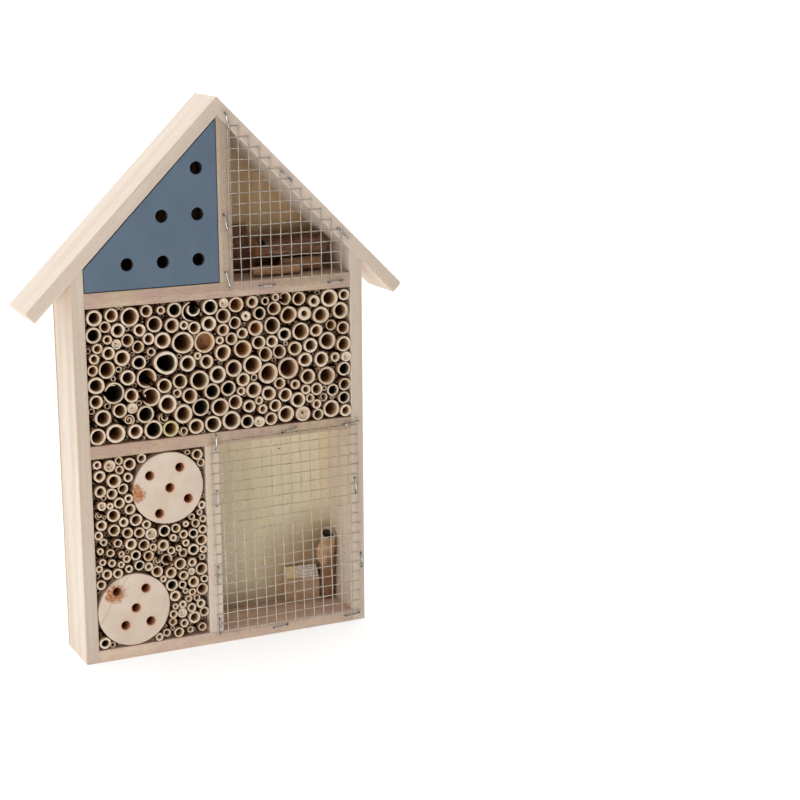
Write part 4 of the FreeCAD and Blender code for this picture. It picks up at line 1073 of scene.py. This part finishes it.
def build_roof_room_wood():
    dark_tones = srgb(76, 52, 40), srgb(128, 93, 73), srgb(164, 127, 103)
    red_tones = srgb(88, 60, 46), srgb(142, 104, 82), srgb(188, 148, 122)
    stick_tones = srgb(120, 84, 60), srgb(186, 144, 112), srgb(210, 172, 138)
    dark_bark = bark_material("dark_bark", *dark_tones, knot=(36.5, 266.0))
    red_bark = bark_material("red_bark", *red_tones)
    stick_bark = bark_material("stick_bark", *stick_tones, 0.7)
    logs = (("thick_log", dark_bark, 0.9, 0.0, 1), ("middle_stick", stick_bark, 0.4, 0.0, 2),
            ("front_stick", stick_bark, 0.35, 0.3, 3), ("rear_stick", dark_bark, 0.7, 0.0, 4))
    for node, material, rough, hole, seed in logs:
        low, high = node_box(node)
        y, z = (low.y + high.y) / 2, (low.z + high.z) / 2
        start, end = Vector((low.x + 0.2, y, z)), Vector((high.x - 0.2, y, z))
        shape = Shape()
        add_log(shape, start, end, (high.z - low.z) / 2, seed, rough, hole)
        make_piece(node + "_bark", shape, material, [node], smooth_below=50)

    low, high = node_box("bark_slab")
    shape = Shape()
    rows = []
    columns, levels = 14, 30
    lean = high.y - low.y - 5.2
    for level in range(levels + 1):
        up = level / levels
        row = []
        for column in range(2 * columns):
            on_back = column >= columns
            share = column / (columns - 1) if not on_back else (2 * columns - 1 - column) / (columns - 1)
            x = low.x + (high.x - low.x) * share
            z = low.z + (high.z - low.z) * up
            bow = 1.3 * (1 - (2 * share - 1) ** 2)
            lump = noise.noise(Vector((share * 3.0, up * 3.2, 7))) * 0.7
            lump += noise.noise(Vector((share * 9, up * 11, 2))) * 0.3
            y = low.y + lean * up + (4.9 if on_back else 1.5 - bow + lump)
            if level == levels and not on_back:
                z += noise.noise(Vector((share * 5, 0, 3))) * 0.8 - 0.6
            row.append(shape.add((x, y, z), grain=Vector((z, x, y)) * GRAIN_UNIT, end=0.0))
        rows.append(row)
    shape.loft(rows, capped=True)
    make_piece("bark_slab_bark", shape, red_bark, ["bark_slab"], smooth_below=50)


def build_block():
    """The split block: a sawn front, and a sloping top that is smooth on the left and torn on the right."""
    low, high = node_box("wood_block")
    shape = Shape()
    columns = 48
    front_shares = (0.03, 0.2, 0.4, 0.6, 0.8, 0.97)
    slope_shares = [step / 10 for step in range(11)]
    slope_first = 1 + len(front_shares)
    rows = []
    for column in range(columns + 1):
        share = column / columns
        x = low.x + 0.2 + (high.x - low.x - 0.4) * share
        edge_z = low.z + 18.8 - 2.2 * share  # where the front ends and the slope starts
        top_z = high.z - 0.3 - 1.2 * share
        profile = [(low.y + 0.3, low.z)]
        profile += [(low.y, low.z + (edge_z - low.z) * up) for up in front_shares]
        profile += [(low.y + 0.2 + 5.6 * up, edge_z + (top_z - edge_z) * up) for up in slope_shares]
        profile += [(high.y - 0.4, top_z - 0.6), (high.y, low.z)]
        row = []
        for index, (y, z) in enumerate(profile):
            on_slope = slope_first <= index < slope_first + len(slope_shares)
            torn = 1.0 if on_slope and share > 0.40 else 0.0
            rag = 0.0
            if torn:
                rag = noise.noise(Vector((x * 0.35, z * 1.6, 4)))
                rag += noise.noise(Vector((x * 1.4, z * 5, 9))) * 0.4
            if torn and index == slope_first + 2:
                rag -= 1.3  # the crack along the torn strip
            dent = noise.noise(Vector((x * 0.2, z * 0.2, 1))) * 0.25
            y_here = y + (dent if index < len(profile) - 2 else 0) - min(rag, 0) * 0.9
            y_here = min(max(y_here, low.y), high.y)
            z_here = min(max(z + rag * 0.4, low.z), high.z)
            sap = 1.0 if on_slope and not torn else 0.0
            grain = Vector((x, z, y)) * GRAIN_UNIT
            row.append(shape.add((x, y_here, z_here), grain=grain, torn=torn, sap=sap))
        rows.append(row)
    shape.loft(rows, capped=True)
    make_piece("wood_block_split", shape, block_material(), ["wood_block"], smooth_below=40)


def build_stem():
    """The leaning hollow stem, cut at a slant that faces the front, with flaky orange bark."""
    low, high = node_box("hollow_stem")
    foot = [point for point in solids_of("hollow_stem")[0] if point.z < low.z + 0.5]
    middle = [(span(foot, axis)[0] + span(foot, axis)[1]) / 2 for axis in (0, 1)]
    base = Vector((middle[0], middle[1], low.z))
    outer = (span(foot, 0)[1] - span(foot, 0)[0]) / 2 - 0.1
    inner = outer * 0.7
    lean = Vector((-1.1, -5.5, 51.9)).normalized()
    slope = math.tan(math.radians(35))
    sides, steps = 48, 44
    shape = Shape()
    walls = []
    for hollow, reach in ((0.0, outer), (1.0, inner)):
        rows = []
        for step in range(steps + 1):
            share = step / steps
            row = []
            for side in range(sides):
                angle = 2 * math.pi * side / sides
                flake = 0.0
                if not hollow:
                    where = Vector((math.cos(angle) * 2.2, math.sin(angle) * 2.2, share * 5))
                    flake = noise.noise(where) * 0.6 + noise.noise(where * 3.3) * 0.35 - 0.45
                spoke = Vector((math.cos(angle), math.sin(angle), 0)) * (reach + flake)
                ragged = noise.noise(Vector((math.cos(angle) * 1.5, math.sin(angle) * 1.5, 8))) * 0.8
                height = high.z - 0.5 - low.z + (spoke.y - outer) * slope + ragged * (0.4 + 0.6 * share)
                point = base + spoke + lean * height / lean.z * share
                grain = Vector((point.z, spoke.x, spoke.y)) * GRAIN_UNIT
                at_cut = share == 1.0
                row.append(shape.add(
                    point, grain=grain, end=1.0 if at_cut else 0.0, hollow=0.0 if at_cut else hollow))
            rows.append(row)
        shape.loft(rows)
        walls.append(rows)
    for end in (0, -1):
        shape.bridge(walls[0][end], walls[1][end])
    # A strip of bark that has come away on the left of the top.
    flap = []
    for step in range(13):
        share = step / 12
        z = low.z + 26 + 19 * share
        along = base + lean * (z - low.z) / lean.z
        row = []
        for corner, thick in ((0.0, 0.0), (0.5, 0.0), (1.0, 0.0), (1.0, 0.5), (0.5, 0.5), (0.0, 0.5)):
            angle = math.radians(188 + 56 * corner)
            lift = 3.8 * math.sin(math.pi * share) * (1 - corner)
            lift += noise.noise(Vector((share * 6, corner, 4))) * 0.4
            spoke = Vector((math.cos(angle), math.sin(angle), 0)) * (outer - 0.4 + lift + thick)
            grain = Vector((z, spoke.x, spoke.y)) * GRAIN_UNIT
            row.append(shape.add(along + spoke, grain=grain, end=0.0, hollow=0.0))
        flap.append(row)
    shape.loft(flap, capped=True)
    tones = srgb(126, 84, 56), srgb(222, 182, 142), srgb(250, 234, 208)
    material = bark_material("orange_bark", *tones, 2.2, fresh_wood=srgb(226, 206, 182), shady=True)
    make_piece("hollow_stem_bark", shape, material, ["hollow_stem"], smooth_below=50)


# ---- mesh and staples ----

def end_points(points):
    """The middles of a bar's two ends."""
    sizes = [span(points, axis)[1] - span(points, axis)[0] for axis in range(3)]
    axis = sizes.index(max(sizes))
    low, high = span(points, axis)
    ends = []
    for limit in (low, high):
        cap = [point for point in points if abs(point[axis] - limit) < 0.3]
        ends.append(sum(cap, Vector()) / len(cap))
    radius = min(sizes) / 2
    return ends[0], ends[1], radius


def build_mesh(node, material, seed):
    chance = random.Random(seed)
    shape = Shape()
    for points in solids_of(node):
        start, end, radius = end_points(points)
        steps = max(4, int((end - start).length / 3.5))
        phase = chance.uniform(0, 50)
        path = []
        for step in range(steps + 1):
            share = step / steps
            place = start.lerp(end, share)
            sway = noise.noise(Vector((share * 4.0, phase, 0.0))) * 0.45
            fine = noise.noise(Vector((share * steps * 0.7, phase, 5.0))) * 0.12
            upright = abs(end.z - start.z) > abs(end.x - start.x)
            shift = Vector((sway + fine, 0, 0)) if upright else Vector((0, 0, sway + fine))
            path.append(place + shift)
        add_tube(shape, path, radius, sides=8)
    make_piece(node + "_wires", shape, material, [node], smooth_below=60)


STAPLE_RADIUS = 0.44


def build_staples(node, material, seed):
    chance = random.Random(seed)
    shape = Shape()
    for points in solids_of(node):
        low_y, high_y = span(points, 1)
        crown = [point for point in points if point.y < low_y + 0.5]
        sizes = [span(crown, axis)[1] - span(crown, axis)[0] for axis in (0, 2)]
        along = 0 if sizes[0] > sizes[1] else 2
        low, high = span(crown, along)
        ends = []
        for limit in (low, high):
            cap = [point for point in crown if abs(point[along] - limit) < 0.75]
            ends.append(sum(cap, Vector()) / len(cap))
        first, second = ends
        first.y = second.y = low_y + 0.45
        run = (second - first).normalized()
        first, second = first + run * 0.15, second - run * 0.15
        back = Vector((0, 1, 0))
        lift = chance.uniform(0.0, 0.12)
        leg = back * (high_y - low_y - 0.5)
        path = [first + leg, first + back * 1.2, first + back * 0.45 + run * 0.08,
                first + back * 0.1 + run * 0.4, first + run * 1.0]
        for share in (0.3, 0.5, 0.7):
            path.append(first.lerp(second, share) + back * lift * math.sin(math.pi * share))
        path += [second - run * 1.0, second + back * 0.1 - run * 0.4, second + back * 0.45 - run * 0.08,
                 second + back * 1.2, second + leg]
        add_tube(shape, path, STAPLE_RADIUS, sides=10, flatten=0.95)
    make_piece(node + "_wire", shape, material, [node], smooth_below=60)


# ---- the object ----

build_boards()
build_back_panel()
build_blue_panel()
build_disc("upper_log_disc", UPPER_DISC_HOLES, (-6.0, 4.0),
           ((-20.4, -2.4, 5.6, 1.0), (-22.0, 2.4, 3.6, 0.9)), (), 1)
star_cracks = [
    (*LOWER_DISC_HOLES[0], angle, start, end) for angle, start, end in (
        (240, 6.0, 23.0), (50, 5.0, 15.0), (118, 4.0, 9.0), (205, 4.5, 9.5), (285, 4.0, 9.0),
        (330, 4.0, 8.0), (10, 4.0, 8.0), (85, 4.0, 8.0), (165, 4.0, 8.5))]
build_disc("lower_log_disc", LOWER_DISC_HOLES, (-11.0, 13.0),
           ((-12.6, 12.6, 7.6, 1.0), (-16.5, 11.0, 3.6, 0.9)), star_cracks, 2)
reed = reed_material()
all_reeds = build_reeds(reed)
discs = []
for disc in ("upper_log_disc", "lower_log_disc"):
    disc_low, disc_high = node_box(disc)
    disc_x, disc_z = ((disc_low[axis] + disc_high[axis]) / 2 for axis in (0, 2))
    discs.append((disc_x, disc_z, (disc_high.x - disc_low.x) / 2))
middle_room = (-ROOM_HALF, ROOM_HALF, MIDDLE_HIGH, UPPER_LOW)
lower_room = (-ROOM_HALF, DIVIDER_LEFT, BOTTOM_TOP, MIDDLE_LOW)
build_filler("middle_reed_filler", middle_room, all_reeds, reed, 5)
build_filler("lower_reed_filler", lower_room, all_reeds + discs, reed, 6)
build_roof_room_wood()
build_block()
build_stem()
# The staples' and roof wire's flanks get painted shade, and the lower wire is painted darker above 0.06 m.
roof_wire = metal("roof_wire", srgb(196, 188, 178), srgb(168, 160, 150), 0.45, 0.1, 0.15)
lower_wire = metal("lower_wire", srgb(210, 200, 188), srgb(184, 174, 162), 0.45, 0.1, 0.0, 0.06)
staple = metal("staple_steel", srgb(228, 228, 228), srgb(120, 118, 116), 0.25, 0.8, 0.95)
build_mesh("roof_wire_mesh", roof_wire, 8)
build_mesh("lower_wire_mesh", lower_wire, 9)
build_staples("roof_mesh_staples", staple, 10)
build_staples("lower_mesh_staples", staple, 11)

brad_steel = metal("brad_steel", srgb(176, 176, 176), srgb(128, 126, 124), 0.45)
zinc_plate = metal("zinc_plate", srgb(210, 212, 214), srgb(170, 172, 176), 0.35)
for name, node in NODES.items():
    if name.endswith("_brads") or name.startswith("hanger_"):
        node.data.materials.clear()
        node.data.materials.append(zinc_plate if name.startswith("hanger_") else brad_steel)


# ---- floor, light and camera ----

def build_stage():
    bpy.ops.mesh.primitive_plane_add(size=90, location=(0, 0, 0))
    floor = bpy.context.object
    floor.name = "floor"
    pale = Material("floor_white", 0.9, Specular_IOR_Level=0.0)
    pale.shader.inputs["Base Color"].default_value = (0.5, 0.5, 0.5, 1)
    pale.shader.inputs["Emission Color"].default_value = (1, 1, 1, 1)
    pale.shader.inputs["Emission Strength"].default_value = 0.59
    floor.data.materials.append(pale.material)

    world = bpy.data.worlds.new("studio")
    bpy.context.scene.world = world
    world.use_nodes = True
    tree = world.node_tree
    background = tree.nodes["Background"]
    direction = tree.nodes.new("ShaderNodeTexCoord")
    parts = tree.nodes.new("ShaderNodeSeparateXYZ")
    tree.links.new(direction.outputs["Generated"], parts.inputs[0])

    def smooth_range(source, *limits):
        made = tree.nodes.new("ShaderNodeMapRange")
        made.interpolation_type = "SMOOTHSTEP"
        tree.links.new(source, made.inputs["Value"])
        for name, value in zip(("From Min", "From Max", "To Min", "To Max"), limits):
            made.inputs[name].default_value = value
        return made.outputs["Result"]

    # The front is dim and the back bright, and it is brighter overhead.
    strength = smooth_range(parts.outputs["Y"], -0.8, 0.0, 0.04, 1.0)
    overhead = smooth_range(parts.outputs["Z"], 0.15, 0.85, 0.82, 1.8)
    product = tree.nodes.new("ShaderNodeMath")
    product.operation = "MULTIPLY"
    tree.links.new(strength, product.inputs[0])
    tree.links.new(overhead, product.inputs[1])
    tree.links.new(product.outputs["Value"], background.inputs["Strength"])
    background.inputs["Color"].default_value = (1.0, 0.985, 0.965, 1)

    key = bpy.data.lights.new("key", "AREA")
    key.shape = "RECTANGLE"
    key.size = 0.3
    key.size_y = 0.2
    key.energy = 1.0
    key.color = (1.0, 0.95, 0.88)
    lamp = bpy.data.objects.new("key", key)
    lamp.location = (-0.44, -0.42, 0.07)
    lamp.rotation_euler = (Vector((0, 0, 0.12)) - lamp.location).to_track_quat("-Z", "Y").to_euler()
    bpy.context.scene.collection.objects.link(lamp)


def build_camera():
    camera = bpy.data.cameras.new("camera")
    camera.lens = 83.85
    camera.sensor_width = 36
    camera.clip_end = 200
    holder = bpy.data.objects.new("camera", camera)
    holder.location = (-0.41624, -1.11957 + FRONT * METRE, 0.44675)
    holder.rotation_euler = Euler([math.radians(angle) for angle in (76.752, 0.246, -25.984)], "XYZ")
    bpy.context.scene.collection.objects.link(holder)
    bpy.context.scene.camera = holder


build_stage()
build_camera()
bpy.context.scene.view_settings.view_transform = "Standard"
